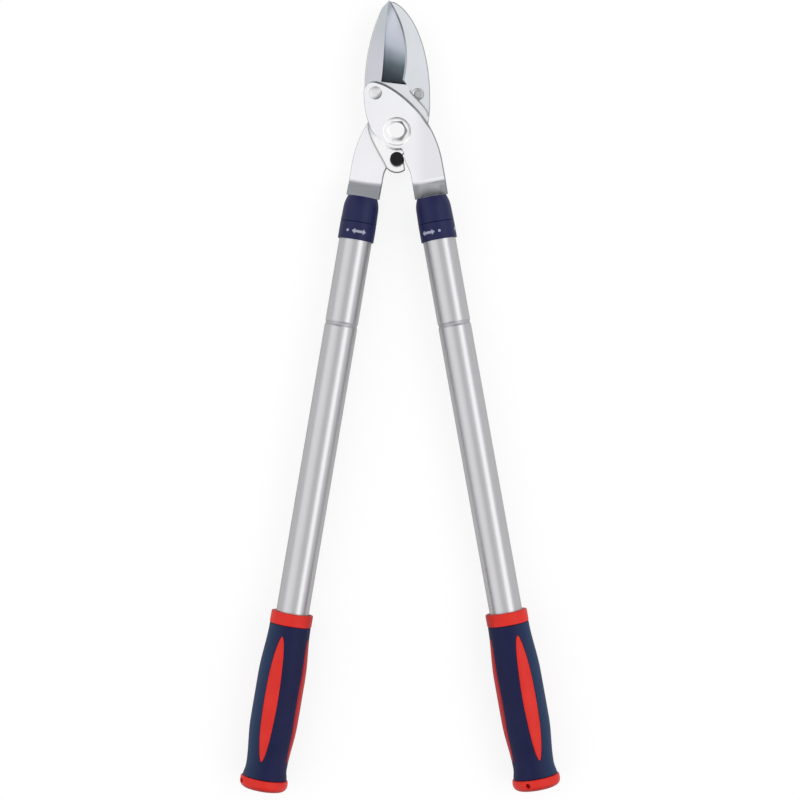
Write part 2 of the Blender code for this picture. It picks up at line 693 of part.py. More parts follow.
def inner_tube():
    """The tube that the tang is pinned into and the outer tube slides on."""
    profile = [(INNER_BORE, INNER_TUBE_START), (INNER_RADIUS, INNER_TUBE_START),
               (INNER_RADIUS, INNER_TUBE_END), (INNER_BORE, INNER_TUBE_END)]
    mesh = along_handle(turned("inner_tube", profile, TUBE_SIDES))
    return carved(mesh, [("DIFFERENCE", pin_tool())])


def tube_end_plug():
    """The plug on the inner tube's end: it guides the tube and stops it at the rolled groove."""
    flange = INNER_TUBE_END + GAP
    end = flange + PLUG_FLANGE
    soft = PLUG_FLANGE / 8
    profile = [(0, INNER_TUBE_END - PLUG_SPIGOT), (SOCKET_RADIUS, INNER_TUBE_END - PLUG_SPIGOT),
               (SOCKET_RADIUS, flange), (GUIDE_RADIUS, flange), (GUIDE_RADIUS, end - soft),
               (GUIDE_RADIUS - soft, end), (0, end)]
    return along_handle(turned("tube_end_plug", profile, TUBE_SIDES))


def outer_tube():
    """The outer tube, with the rolled groove that the inner tube's plug stops at."""
    depth = OUTER_BORE - SLIDE_BORE
    half = GROOVE_WIDTH / 2
    groove = [(1.0, 0.0), (0.5, 0.6), (0.15, 1.0), (-0.15, 1.0), (-0.5, 0.6), (-1.0, 0.0)]
    inner = [(OUTER_BORE - depth * sink, GROOVE_AT - half * side) for side, sink in groove]
    outer = [(OUTER_RADIUS - depth * sink, GROOVE_AT - half * side) for side, sink in groove]
    profile = [(OUTER_BORE, OUTER_TUBE_START), (OUTER_RADIUS, OUTER_TUBE_START)] + outer
    profile += [(OUTER_RADIUS, OUTER_TUBE_END), (OUTER_BORE, OUTER_TUBE_END)] + inner[::-1]
    return along_handle(turned("outer_tube", profile, TUBE_SIDES))


def collar_ferrule():
    """The fixed band on the outer tube's mouth, with the nose that the lock collar turns on."""
    rim = OUTER_RADIUS + FERRULE_RAISE
    bore = OUTER_RADIUS + GAP
    end = FERRULE_START + FERRULE_LENGTH
    soft = FERRULE_EASE
    inner = OUTER_TUBE_START - GAP
    profile = [(SLIDE_BORE, NOSE_START), (NOSE_RADIUS, NOSE_START), (NOSE_RADIUS, FERRULE_START),
               (rim - soft, FERRULE_START), (rim, FERRULE_START + soft), (rim, end - soft),
               (rim - soft, end), (bore, end), (bore, inner), (SLIDE_BORE, inner)]
    return along_handle(turned("collar_ferrule", profile, TUBE_SIDES))


def lock_collet():
    """The split ring that the lock collar squeezes on to the inner tube."""
    end = COLLET_START + COLLET_LENGTH
    taper = COLLET_WALL / 4
    profile = [(SLIDE_BORE, COLLET_START), (NOSE_RADIUS - taper, COLLET_START), (NOSE_RADIUS, end),
               (SLIDE_BORE, end)]
    mesh = along_handle(turned("lock_collet", profile, TUBE_SIDES))
    half = COLLET_SLOT / 2
    slot = box((0, -end - COLLET_LENGTH, -half), (OUTER_RADIUS * 2, -COLLET_START + COLLET_LENGTH, half))
    return carved(mesh, [("DIFFERENCE", slot)])


def lock_collar():
    """The twist collar, with a long rounded shoulder and a bore that steps out round the collet."""
    mouth = SLIDE_BORE + COLLAR_RIM_WALL
    crest = OUTER_RADIUS + COLLAR_SHOULDER_RAISE
    rim = OUTER_RADIUS + COLLAR_RAISE
    end = COLLAR_START + COLLAR_LENGTH
    step = COLLAR_START + COLLAR_LIP
    shoulder = []
    for share in (0, 0.15, 0.3, 0.5, 0.7, 1):
        radius = crest - (crest - mouth) * (1 - share) ** 2
        shoulder.append((radius, COLLAR_START + COLLAR_SHOULDER * share))
    profile = [(SLIDE_BORE, COLLAR_START)] + shoulder
    profile += [(rim, end - FERRULE_EASE), (rim - FERRULE_EASE, end)]
    profile += [(COLLAR_BORE, end), (COLLAR_BORE, step), (SLIDE_BORE, step)]
    return along_handle(turned("lock_collar", profile, TUBE_SIDES))


def eased(start, end, share):
    """A smooth step between two values."""
    return start + (end - start) * (1 - cos(pi * min(max(share, 0), 1))) / 2


def sleeve_radius(s):
    """The grip's outer radius at a station: a long barrel, a neck and a flare at the cap."""
    walls = [(0, SLEEVE_TOP_WALL), (BARREL_START, SLEEVE_BARREL_WALL), (BARREL_END, SLEEVE_BARREL_WALL),
             (NECK_AT, SLEEVE_NECK_WALL), (OUTER_TUBE_END - SLEEVE_START, SLEEVE_FLARE_WALL)]
    down = s - SLEEVE_START
    for (start, wall), (end, after) in zip(walls, walls[1:]):
        if down <= end:
            break
    return SLEEVE_BORE + eased(wall, after, (down - start) / (end - start))


def grip_blank(inside):
    """The grip's outer form below the ring, round a bore of a given radius."""
    steps = 12
    length = OUTER_TUBE_END - SLEEVE_START
    stations = [SLEEVE_START + length * i / steps for i in range(steps + 1)]
    profile = [(sleeve_radius(s), s) for s in stations]
    profile += [(inside, OUTER_TUBE_END), (inside, SLEEVE_START)]
    return along_handle(turned("grip_blank", profile, TUBE_SIDES))


def inlay_prism(turn, margin):
    """A spindle-shaped bar that stands out from the tube's axis, for one inlay or its window."""
    steps = 9
    half_width = INLAY_HALF_WIDTH + margin
    half_length = INLAY_HALF_LENGTH + margin
    side = []
    for i in range(steps + 1):
        share = -cos(pi * i / steps)
        across = half_width * (1 - share ** 2) ** 0.55
        side.append((across, SLEEVE_START + INLAY_CENTRE + half_length * share))
    ring = side + [(-across, s) for across, s in side[-2:0:-1]]
    shape = bmesh.new()
    face = shape.faces.new([shape.verts.new((across, -s, CORE_BORE + CORE_WALL / 2)) for across, s in ring])
    raised = bmesh.ops.extrude_face_region(shape, geom=[face])["geom"]
    tips = [item for item in raised if isinstance(item, bmesh.types.BMVert)]
    bmesh.ops.translate(shape, verts=tips, vec=(0, 0, OUTER_RADIUS))
    mesh = mesh_of(shape, "inlay")
    mesh.transform(Matrix.Rotation(radians(turn), 4, "Y"))
    return mesh


def inlay_turns(side):
    """The angles of a grip's four inlays, from the face of the tool towards its outer side."""
    return [turn if side == "right" else -turn for turn in INLAY_TURNS]


def grip_core(side):
    """The red core: a tube with a ring at its top and four raised inlays."""
    rim = OUTER_RADIUS + RING_RAISE
    ring_end = GRIP_START + RING_LENGTH
    soft = CORE_WALL / 3
    profile = [(CORE_BORE, GRIP_START), (rim - soft, GRIP_START), (rim, GRIP_START + soft),
               (rim, ring_end), (CORE_RADIUS, ring_end), (CORE_RADIUS, OUTER_TUBE_END),
               (CORE_BORE, OUTER_TUBE_END)]
    core = along_handle(turned("grip_core", profile, TUBE_SIDES))
    blank = grip_blank(CORE_BORE + CORE_WALL / 2)
    steps = []
    for turn in inlay_turns(side):
        steps.append(("UNION", carved(inlay_prism(turn, 0), [("INTERSECT", blank)])))
    return carved(core, steps)


def grip_sleeve(side):
    """The navy sleeve over the core, with a window for each inlay."""
    windows = [("DIFFERENCE", inlay_prism(turn, GAP)) for turn in inlay_turns(side)]
    return carved(grip_blank(SLEEVE_BORE), windows)


def end_cap(side):
    """The domed red cap that closes the tube, with a small hole in its side."""
    rim = OUTER_RADIUS + CAP_RAISE
    end = CAP_START + CAP_HEIGHT
    edge = [(rim - CAP_ROUND * (1 - cos(radians(a))), end - CAP_ROUND * (1 - sin(radians(a))))
            for a in (0, 30, 60)]
    soft = CAP_ROUND / 6
    profile = [(0, CAP_START - CAP_SPIGOT), (GUIDE_RADIUS - soft, CAP_START - CAP_SPIGOT),
               (GUIDE_RADIUS, CAP_START - CAP_SPIGOT + soft), (GUIDE_RADIUS, CAP_START),
               (rim - soft, CAP_START), (rim, CAP_START + soft)] + edge
    profile += [(rim - CAP_ROUND, end), (0, end + CAP_HEIGHT / 12)]
    mesh = along_handle(turned("end_cap", profile, TUBE_SIDES))
    hole = rod(CAP_HOLE_DIAMETER / 2, rim - CAP_HOLE_DEPTH, rim + CAP_HOLE_DEPTH, sides=12)
    hole.transform(Matrix.Rotation(radians(CAP_HOLE_TURNS[side]), 4, "Y"))
    hole.transform(Matrix.Translation((0, -CAP_START - CAP_HEIGHT * 0.45, 0)))
    return carved(mesh, [("DIFFERENCE", hole)])


def handle(side, sign, fixed, finishes):
    """One telescoping handle; fixed is the carrier of the lever that its inner tube belongs to."""
    foot = HANDLE_OFFSET * Vector((sign * cos(HANDLE_LEAN), sin(HANDLE_LEAN)))
    still = carrier(side + "_tube_axis", (*foot, AXIS_HEIGHT), sign * HANDLE_LEAN, fixed)
    sliding = carrier(side + "_telescope", (0, 0, 0), 0.0, still)
    turning = carrier(side + "_lock_axis", (0, 0, 0), 0.0, sliding)
    pieces = [
        ("tang_socket", tang_socket(), "plug_plastic", still),
        ("tang_pin", tang_pin(), "bolt_steel", still),
        ("inner_tube", inner_tube(), "tube_metal", still),
        ("tube_end_plug", tube_end_plug(), "plug_plastic", still),
        ("outer_tube", outer_tube(), "tube_metal", sliding),
        ("collar_ferrule", collar_ferrule(), "navy_plastic", sliding),
        ("lock_collet", lock_collet(), "plug_plastic", sliding),
        ("lock_collar", lock_collar(), "navy_plastic", turning),
        ("grip_core", grip_core(side), "red_plastic", sliding),
        ("grip_sleeve", grip_sleeve(side), "navy_rubber", sliding),
        ("end_cap", end_cap(side), "red_plastic", sliding),
    ]
    for name, mesh, surface, parent in pieces:
        place(side + "_" + name, mesh, finishes[surface], parent, True)


def build():
    """Builds the whole lopper."""
    remove_everything()
    finishes = {
        "blade_steel": finish("blade_steel", (0.62, 0.64, 0.68), 0.28, 1.0),
        "arm_steel": finish("arm_steel", (0.78, 0.79, 0.81), 0.25, 1.0),
        "bolt_steel": finish("bolt_steel", (0.72, 0.73, 0.75), 0.25, 1.0),
        "tube_metal": finish("tube_metal", (0.60, 0.60, 0.61), 0.35, 1.0),
        "navy_plastic": finish("navy_plastic", (0.025, 0.03, 0.13), 0.40, 0.0),
        "navy_rubber": finish("navy_rubber", (0.015, 0.02, 0.08), 0.65, 0.0),
        "red_plastic": finish("red_plastic", (0.78, 0.06, 0.03), 0.40, 0.0),
        "plug_plastic": finish("plug_plastic", (0.08, 0.08, 0.09), 0.50, 0.0),
        "black_rubber": finish("black_rubber", (0.012, 0.012, 0.014), 0.70, 0.0),
    }
    hook_side = carrier("hook_side", (0, 0, 0))
    blade_side = carrier("blade_side", (0, 0, 0), 0.0, hook_side)
    cutting_blade(finishes["blade_steel"], blade_side)
    hook_blade(finishes["blade_steel"], hook_side)
    front_arm(finishes["arm_steel"], blade_side)
    back_arm(finishes["arm_steel"], hook_side)
    pivot_bolt(finishes["bolt_steel"], hook_side)
    pivot_nut(finishes["bolt_steel"], hook_side)
    washer("head_washer", FRONT_WASHER_Z, finishes["bolt_steel"], hook_side)
    washer("nut_washer", BACK_WASHER_Z, finishes["bolt_steel"], hook_side)
    blade_rivet(finishes["bolt_steel"], blade_side)
    hook_rivet(finishes["bolt_steel"], hook_side)
    rubber_bumper(finishes["black_rubber"], hook_side)
    handle("left", -1, hook_side, finishes)
    handle("right", 1, blade_side, finishes)
    print("telescope travel, mm:", round(TELESCOPE_TRAVEL * 1000, 2))
    print("handle axis height, mm:", round(AXIS_HEIGHT * 1000, 3))


build()
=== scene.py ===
# %% [markdown]
# # A telescopic bypass lopper
#
# A lopper cuts branches that are too thick for hand shears. This one has two long handles that slide out
# like a telescope, and a hooked jaw that holds the branch while a second jaw, the blade, slides past it.
#
# Each step first says what the piece or the finish is on the real tool and why it is made the way it is,
# and then makes it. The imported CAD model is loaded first. It fixes the place of every part and says which
# body each one moves with.

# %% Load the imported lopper
from math import asin, atan2, cos, degrees, pi, radians, sin, sqrt

import bmesh
import bpy
from mathutils import Matrix, Vector


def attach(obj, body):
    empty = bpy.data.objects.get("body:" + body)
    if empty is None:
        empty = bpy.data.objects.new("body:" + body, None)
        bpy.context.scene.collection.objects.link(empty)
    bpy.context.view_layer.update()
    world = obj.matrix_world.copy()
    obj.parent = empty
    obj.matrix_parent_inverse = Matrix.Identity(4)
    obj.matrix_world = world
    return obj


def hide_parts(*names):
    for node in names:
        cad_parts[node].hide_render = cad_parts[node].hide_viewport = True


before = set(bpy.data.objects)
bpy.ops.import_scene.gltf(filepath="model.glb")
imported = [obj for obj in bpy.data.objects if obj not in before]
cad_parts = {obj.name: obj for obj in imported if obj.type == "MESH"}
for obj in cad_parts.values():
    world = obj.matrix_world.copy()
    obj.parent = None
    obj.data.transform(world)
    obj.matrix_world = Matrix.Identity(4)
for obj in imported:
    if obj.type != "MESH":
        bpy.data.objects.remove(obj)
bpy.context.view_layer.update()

# %% [markdown]
# ## The camera
#
# The photograph looks straight down on the tool from far away, so its long handles hardly converge. The
# camera stands 1.9 m above the middle of the tool. At that height the lens follows from one measure: how
# many millimetres one pixel of the square picture covers. A quarter of a degree of roll matches the way
# the tool lies in the picture.

# %% Place the camera
AXIS_HEIGHT = 0.0211
CAMERA_HEIGHT = 1.9
CAMERA_PLAN = (0.0016, -0.2352)
CAMERA_ROLL = radians(-0.28)
METRES_PER_PIXEL = 0.00088
PICTURE_SIDE = 800
SENSOR_SIDE = 36


def in_scene(name, data):
    """Makes an object and links it to the scene."""
    item = bpy.data.objects.new(name, data)
    bpy.context.scene.collection.objects.link(item)
    return item


camera = in_scene("camera", bpy.data.cameras.new("camera"))
camera.data.sensor_width = SENSOR_SIDE
camera.data.lens = SENSOR_SIDE * CAMERA_HEIGHT / (PICTURE_SIDE * METRES_PER_PIXEL)
camera.location = (*CAMERA_PLAN, AXIS_HEIGHT + CAMERA_HEIGHT)
camera.rotation_euler = (0, 0, CAMERA_ROLL)
bpy.context.scene.camera = camera
print("lens, mm:", round(camera.data.lens, 1))

# %% [markdown]
# ## Sizes
#
# All sizes are in metres. They are those of the CAD model, but for a few small ones that the photograph
# shows better. Along a handle, `s` is the distance down its axis from the point nearest the bolt. The
# heights of the plates are those over the ground.

# %% Sizes of the head
GAP = 0.0003
HANDLE_LEAN = radians(9.90)
HANDLE_OFFSET = 0.0200
ARM_THICKNESS = 0.0045
BLADE_THICKNESS = 0.0045
HOOK_THICKNESS = 0.0050
BOLT_RADIUS = 0.0050
BOLT_HOLE = BOLT_RADIUS + GAP
BOLT_HEAD_FLATS = 0.0160
BOLT_HEAD_HEIGHT = 0.0065
WASHER_RADIUS = 0.0123
WASHER_THICKNESS = 0.0015
NUT_FLATS = 0.0160
NUT_HEIGHT = 0.0093
NUT_COLLAR_HEIGHT = 0.0026
NUT_COLLAR_RADIUS = 0.0073
HOOK_RIVET = Vector((0.0186, 0.0338))
BLADE_RIVET = Vector((-HOOK_RIVET.x, HOOK_RIVET.y))
PIN_HOLE = 0.0028
SUNK_DEPTH = 0.0022
SUNK_RADIUS = 0.0055

BACK_WASHER_Z = NUT_HEIGHT + GAP
BACK_ARM_Z = BACK_WASHER_Z + WASHER_THICKNESS + GAP
HOOK_Z = BACK_ARM_Z + ARM_THICKNESS + GAP
HOOK_TOP = HOOK_Z + HOOK_THICKNESS
BLADE_Z = HOOK_TOP + GAP
FRONT_ARM_Z = BLADE_Z + BLADE_THICKNESS + GAP
FRONT_WASHER_Z = FRONT_ARM_Z + ARM_THICKNESS + GAP
HEAD_Z = FRONT_WASHER_Z + WASHER_THICKNESS + GAP
print("head of the bolt at, mm:", round(HEAD_Z * 1000, 1))

# %% Sizes of the handles
OUTER_RADIUS = 0.0145
TUBE_WALL = 0.0015
INNER_RADIUS = 0.0120
INNER_WALL = 0.0012
SLIDE_BORE = INNER_RADIUS + GAP
COLLAR_BORE = 0.0140
NOSE_RADIUS = COLLAR_BORE - GAP
COLLAR_START = 0.0613
COLLAR_END = 0.0839
SHOULDER = COLLAR_START - 0.0005
INNER_TUBE_START = SHOULDER + GAP
INNER_TUBE_END = INNER_TUBE_START + 0.4374
FERRULE_START = COLLAR_END + GAP
FERRULE_END = FERRULE_START + 0.0154
OUTER_TUBE_START = FERRULE_START + 0.0018
OUTER_TUBE_END = OUTER_TUBE_START + 0.4924
CAP_START = OUTER_TUBE_END + GAP
GROOVE_AT = OUTER_TUBE_START + 0.0886
GROOVE_HALF_WIDTH = 0.0026
GRIP_START = OUTER_TUBE_END - 0.1468
SLEEVE_START = GRIP_START + 0.0108 + GAP
CORE_BORE = OUTER_RADIUS + GAP
CORE_RADIUS = CORE_BORE + 0.0016
SLEEVE_BORE = CORE_RADIUS + GAP
PIN_AT = SHOULDER + 0.0200
print("outer tube from", round(OUTER_TUBE_START * 1000, 1), "to", round(OUTER_TUBE_END * 1000, 1), "mm")

# %% [markdown]
# ## Shader sums
#
# A finish is worked out from many small nodes. Written as links, a sum of three numbers takes ten lines,
# so one small class wraps a socket and lets Python's own signs build the Math nodes. Its method `node`
# adds any other kind of node.

# %% A socket that can be used in sums
class Wire:
    """An output socket of a node, which takes part in sums and feeds other nodes."""

    def __init__(self, tree, socket=None):
        self.tree = tree
        self.socket = socket

    def node(self, kind, settings=None, sockets=None, output=0):
        """Adds a node: its settings first, then the values or links of its sockets. Colours are three
        numbers."""
        made = self.tree.nodes.new(kind)
        for name, value in (settings or {}).items():
            if name == "stops":
                made.color_ramp.elements.remove(made.color_ramp.elements[1])
                for i, (place, colour) in enumerate(value):
                    stop = made.color_ramp.elements[0] if i == 0 else made.color_ramp.elements.new(place)
                    stop.position = place
                    stop.color = (*colour, 1)
            else:
                setattr(made, name, value)
        for name, value in (sockets or {}).items():
            target = made.inputs[name]
            if isinstance(value, Wire):
                self.tree.links.new(value.socket, target)
            else:
                target.default_value = (*value, 1) if target.type == "RGBA" else value
        return Wire(self.tree, made.outputs[output] if len(made.outputs) else None)

    def sum_of(self, operation, first, second, clamp=False):
        settings = {"operation": operation, "use_clamp": clamp}
        return self.node("ShaderNodeMath", settings, {0: first, 1: second})

    def __add__(self, other):
        return self.sum_of("ADD", self, other)

    def __radd__(self, other):
        return self.sum_of("ADD", other, self)

    def __sub__(self, other):
        return self.sum_of("SUBTRACT", self, other)

    def __mul__(self, other):
        return self.sum_of("MULTIPLY", self, other)

    def __rmul__(self, other):
        return self.sum_of("MULTIPLY", other, self)

    def __rsub__(self, other):
        return self.sum_of("SUBTRACT", other, self)

    def __abs__(self):
        return self.node("ShaderNodeMath", {"operation": "ABSOLUTE"}, {0: self})


print("shader sums ready")

# %% [markdown]
# ## Starting a finish
#
# Every finish starts the same way: a Principled shader with its plain numbers, and the place on the
# surface that its patterns read. Pieces of the head read Object coordinates, which are those of the CAD
# model. Pieces of a handle lean, so they carry their own upright coordinates in an attribute, and a
# pattern can then run straight down each handle.

# %% Start a finish
HANDLE_PLACE = "handle_place"


def new_finish(name, metallic=1.0, specular=0.5, on_handle=False):
    """A material, and the place on the surface that its patterns read."""
    material = bpy.data.materials.new(name)
    material.use_nodes = True
    shader = material.node_tree.nodes["Principled BSDF"]
    shader.inputs["Metallic"].default_value = metallic
    shader.inputs["Specular IOR Level"].default_value = specular
    start = Wire(material.node_tree)
    if on_handle:
        return material, start.node("ShaderNodeAttribute", {"attribute_name": HANDLE_PLACE}, output="Vector")
    return material, start.node("ShaderNodeTexCoord", output="Object")


def stretched(place, scale):
    """A place scaled by its own number along each axis, which draws a pattern out, or a scaled colour."""
    return place.node("ShaderNodeVectorMath", {"operation": "MULTIPLY"}, {0: place, 1: scale})


def axis_of(place, axis):
    """One coordinate of a place."""
    return place.node("ShaderNodeSeparateXYZ", None, {0: place}, output=axis)


def distance_from_pivot(place):
    """How far a place lies from the axis of the bolt."""
    flat = stretched(place, (1, 1, 0))
    return flat.node("ShaderNodeVectorMath", {"operation": "LENGTH"}, {0: flat}, output="Value")


def eased(value, start, end):
    """0 before the start, 1 after the end, and a smooth rise between them."""
    smooth = {"interpolation_type": "SMOOTHSTEP"}
    return value.node("ShaderNodeMapRange", smooth, {0: value, 1: start, 2: end})


def cloudy(place, scale, detail, roughness=0.5):
    """A soft noise from 0 to 1."""
    return place.node("ShaderNodeTexNoise", None,
                      {"Vector": place, "Scale": scale, "Detail": detail, "Roughness": roughness})


def blend_of(share, first, second):
    """A colour between two colours."""
    return share.node("ShaderNodeMix", {"data_type": "RGBA"}, {0: share, 6: first, 7: second}, output=2)


def grey(level, blue=1.0):
    """A grey, whose blue can be a little stronger."""
    return level, level, level * blue


def feed(material, colour, roughness, height, depth):
    """Connects what varies over the surface to the shader; the height goes through a Bump node."""
    shader = material.node_tree.nodes["Principled BSDF"]
    bump = height.node("ShaderNodeBump", None, {"Strength": 1.0, "Distance": depth, "Height": height})
    for name, wire in (("Base Color", colour), ("Roughness", roughness), ("Normal", bump)):
        material.node_tree.links.new(wire.socket, shader.inputs[name])
    return material


print("finish helpers ready")

# %% [markdown]
# ## Steel finishes
#
# The arms are stamped steel, polished and bright plated, so they are nearly white with a few soft clouds,
# and painted shade makes them a little greyer on the right of the head. Their edges are left as the press
# cut them, duller and darker, and painted shade darkens them further, which draws a line round each plate;
# painted light makes them bright near the bolt. Where the press bent them they are matt, and painted shade
# darkens the bend. The tubes are drawn aluminium: drawing leaves fine lines down the tube, so their noise
# is stretched along the handle, and painted shade darkens the groove of an outer tube. The bolt, its
# washers and the rivets are zinc plated, which leaves a fine spangle. Some of them have painted shade on
# one side, as in the photograph.

# %% Polished arms, drawn tubes and plated fasteners
def polished_steel():
    """The flat faces of the arms, which painted shade makes a little greyer on the right of the head."""
    steel, place = new_finish("polished_arm_steel")
    clouds = cloudy(place, 28, 4)
    scratches = cloudy(stretched(place, (900, 60, 60)), 1, 2)
    colour = blend_of(clouds, (0.89, 0.89, 0.92), (0.97, 0.97, 0.985))
    # Painted shade: greyer on the right of the head.
    colour = blend_of(eased(axis_of(place, "X"), 0.012, 0.027), colour, (0.83, 0.825, 0.86))
    return feed(steel, colour, 0.18 + 0.08 * clouds + 0.05 * scratches, clouds * 0.5 + scratches * 0.05,
                0.00005)


BEND_MATT_AND_SHADE = (-0.0425, -0.0458)
RIGHT_BEND_LOWER = 0.0016
RIGHT_BEND_INNER = (0.0215, 0.0165)
RIGHT_BEND_OUTER = (0.0355, 0.0385)


def bent_steel():
    """The bend of an arm, dull and darkened by painted shade. The right-hand one starts lower, painted light
    lifts it, and painted shade darkens its sides.
    """
    steel, place = new_finish("bent_arm_steel")
    clouds = cloudy(place, 60, 4)
    across = axis_of(place, "X")
    on_right = eased(across, -0.010, 0.010)
    matt_and_shade = eased(axis_of(place, "Y") + RIGHT_BEND_LOWER * on_right, *BEND_MATT_AND_SHADE)
    sides = on_right * eased(across, *RIGHT_BEND_INNER) + eased(across, *RIGHT_BEND_OUTER)
    # Painted shade darkens the bend; on the right-hand arm painted light lifts it and painted shade darkens
    # its sides.
    colour = blend_of(clouds, (0.46, 0.475, 0.495), (0.57, 0.585, 0.61))
    colour = colour.node("ShaderNodeVectorMath", {"operation": "SCALE"},
                         {0: colour, "Scale": 1 + 0.22 * on_right - 0.34 * sides})
    return feed(steel, blend_of(matt_and_shade, (0.92, 0.92, 0.94), colour), 0.22 + 0.06 * clouds + 0.26 * matt_and_shade,
                clouds, 0.00005)


def cut_steel():
    """The torn edge of a stamping: dull and dark as torn steel is, darker still with painted shade, and
    bright only near the bolt with painted light.
    """
    steel, place = new_finish("cut_edge_steel")
    tears = cloudy(stretched(place, (300, 300, 900)), 1, 3)
    # The dark tones are partly the torn steel and partly painted shade.
    colour = blend_of(tears, (0.16, 0.165, 0.18), (0.31, 0.32, 0.34))
    # Painted light: bright near the bolt.
    painted_light_near_bolt = eased(distance_from_pivot(place), 0.0260, 0.0220)
    return feed(steel, blend_of(painted_light_near_bolt, colour, (0.95, 0.95, 0.96)), 0.32 + 0.12 * tears, tears, 0.00004)


def drawn_tube(name, grooved):
    """A drawn tube. The roller leaves the groove of an outer tube duller, and painted shade makes it darker.
    """
    metal, place = new_finish(name, on_handle=True)
    lines = cloudy(stretched(place, (1600, 1600, 9)), 1, 3)
    stains = cloudy(stretched(place, (40, 40, 14)), 1, 3)
    colour = blend_of(lines * 0.6 + stains * 0.4, (0.43, 0.43, 0.44), (0.53, 0.53, 0.545))
    roughness = 0.27 + 0.07 * lines + 0.04 * stains
    if grooved:
        rolled_and_shaded = eased(abs(axis_of(place, "Z") - GROOVE_AT), GROOVE_HALF_WIDTH, 0.5 * GROOVE_HALF_WIDTH)
        # Painted shade darkens the groove.
        colour = blend_of(rolled_and_shaded, colour, (0.42, 0.42, 0.44))
        roughness = roughness + 0.16 * rolled_and_shaded
    return feed(metal, colour, roughness, lines, 0.000012)


def plated(name, dark, light, roughness=0.20, grain=0.12, shade_at=None, shaded=None):
    """A plated steel with a fine spangle; shade_at says how much of the shaded colour a place takes."""
    steel, place = new_finish(name)
    spangle = cloudy(place, 260, 3)
    colour = blend_of(spangle, dark, light)
    if shade_at:
        colour = blend_of(shade_at(place), colour, shaded)
    return feed(steel, colour, roughness + grain * spangle, spangle, 0.00003)


def washer_steel(name, light, dark, ring):
    """A washer's steel: light, but painted shade darkens its upper right side outside the ring, as in the
    photograph.
    """
    def shade(place):
        side = eased(0.7 * axis_of(place, "X") + 0.7 * axis_of(place, "Y"), 0.0005, 0.0080)
        return side * eased(distance_from_pivot(place), ring, ring + 0.0010)

    return plated(name, grey(light), grey(light), 0.22, 0.12, shade, grey(dark, 1.03))


def shade_right_of_bolt(place):
    """Painted shade: the sloped rim of the bolt's head is light on the left and dark on the right."""
    return eased(axis_of(place, "X"), -0.0020, 0.0045)


def shade_below_rivet(place):
    """Painted shade: the domed head of the blade's rivet is darker to its lower right."""
    right = axis_of(place, "X") - BLADE_RIVET.x
    below = BLADE_RIVET.y - axis_of(place, "Y")
    return eased(0.8 * right + 0.6 * below, 0.0012, 0.0048)


polished = polished_steel()
bent = bent_steel()
cut_edge = cut_steel()
outer_tube_finish = drawn_tube("drawn_outer_tube", True)
inner_tube_finish = drawn_tube("drawn_inner_tube", False)
zinc = plated("zinc_plate", grey(0.96, 1.01), grey(1.0))
punched_zinc = plated("punched_zinc", grey(0.36, 1.01), grey(0.54), 0.30)
rivet_zinc = plated("rivet_zinc", (0.66, 0.66, 0.67), (0.80, 0.80, 0.81), 0.46, 0.10, shade_below_rivet,
                    (0.25, 0.25, 0.26))
bolt_rim = plated("bolt_rim", (0.90, 0.90, 0.91), (0.90, 0.90, 0.91), 0.42, 0.12, shade_right_of_bolt,
                  (0.24, 0.24, 0.25))
washer_face = washer_steel("washer_face", 0.98, 0.50, 0.0100)
washer_rim = washer_steel("washer_rim", 0.88, 0.12, 0.0050)
print("finishes:", polished.name, bent.name, cut_edge.name, outer_tube_finish.name, zinc.name)

# %% [markdown]
# ## Blade steel
#
# The jaws are cut from plate and ground on their faces, which leaves fine straight marks. Painted shade and
# light change the tone of the blade's face along the tool, and painted light makes the hook's tail
# brighter, where it shows between the arms. The hollow of the blade is ground afterwards. Its colour
# follows a ramp of painted reflection, dark at its heel, where the wheel runs out into a step, and light
# towards the tip. Painted shade darkens the honed bevel near the tip and the rims of the jaws.

# %% Ground blade faces
def ground_marks(place, along):
    """Fine straight scratches; along is the axis that they run down."""
    scale = [1400, 1400, 1400]
    scale[along] = 25
    return cloudy(stretched(place, tuple(scale)), 1, 2)


def ground(name, along, cloud_scale, dark, light, painted_tones, roughness, smoother=0.0):
    """A ground face. Each tone of painted light or shade is a colour and the places along the tool where it
    starts and is full.
    The last one can also be smoother."""
    steel, place = new_finish(name)
    marks = ground_marks(place, along)
    clouds = cloudy(place, cloud_scale, 3)
    colour = blend_of(clouds * 0.7 + marks * 0.3, dark, light)
    for begin, full, painted_tone in painted_tones:
        share = eased(axis_of(place, "Y"), begin, full)
        colour = blend_of(share, colour, painted_tone)
    return feed(steel, colour, roughness + 0.08 * marks + 0.06 * clouds - smoother * share, marks, 0.00002)


HOLLOW_REFLECTION_STOPS = [
    (0.00, (0.026, 0.033, 0.038)), (0.12, (0.050, 0.062, 0.072)), (0.25, (0.090, 0.112, 0.130)),
    (0.38, (0.225, 0.255, 0.290)), (0.50, (0.380, 0.410, 0.465)), (0.62, (0.430, 0.445, 0.510)),
    (1.00, (0.440, 0.470, 0.510)),
]
HEEL_Y = 0.044
TIP_Y = 0.112


def hollow_steel():
    """The hollow of the blade, with painted reflection: a ramp from dark at the heel to light at the tip,
    lighter on the right.
    """
    steel, place = new_finish("hollow_ground")
    across = axis_of(place, "X")
    share = axis_of(place, "Y") + across * 0.35 - HEEL_Y + 0.004 * cloudy(place, 120, 3)
    share = share * (1 / (TIP_Y - HEEL_Y))
    # Painted reflection: the ramp runs from dark at the heel to light at the tip.
    colour = share.node("ShaderNodeValToRGB", {"stops": HOLLOW_REFLECTION_STOPS}, {"Fac": share})
    colour = blend_of(eased(across, -0.0120, 0.0080), stretched(colour, (0.80, 0.81, 0.82)),
                      stretched(colour, (1.16, 1.15, 1.14)))
    marks = ground_marks(place, 0)
    return feed(steel, colour, 0.40 + 0.10 * marks, marks, 0.00002)


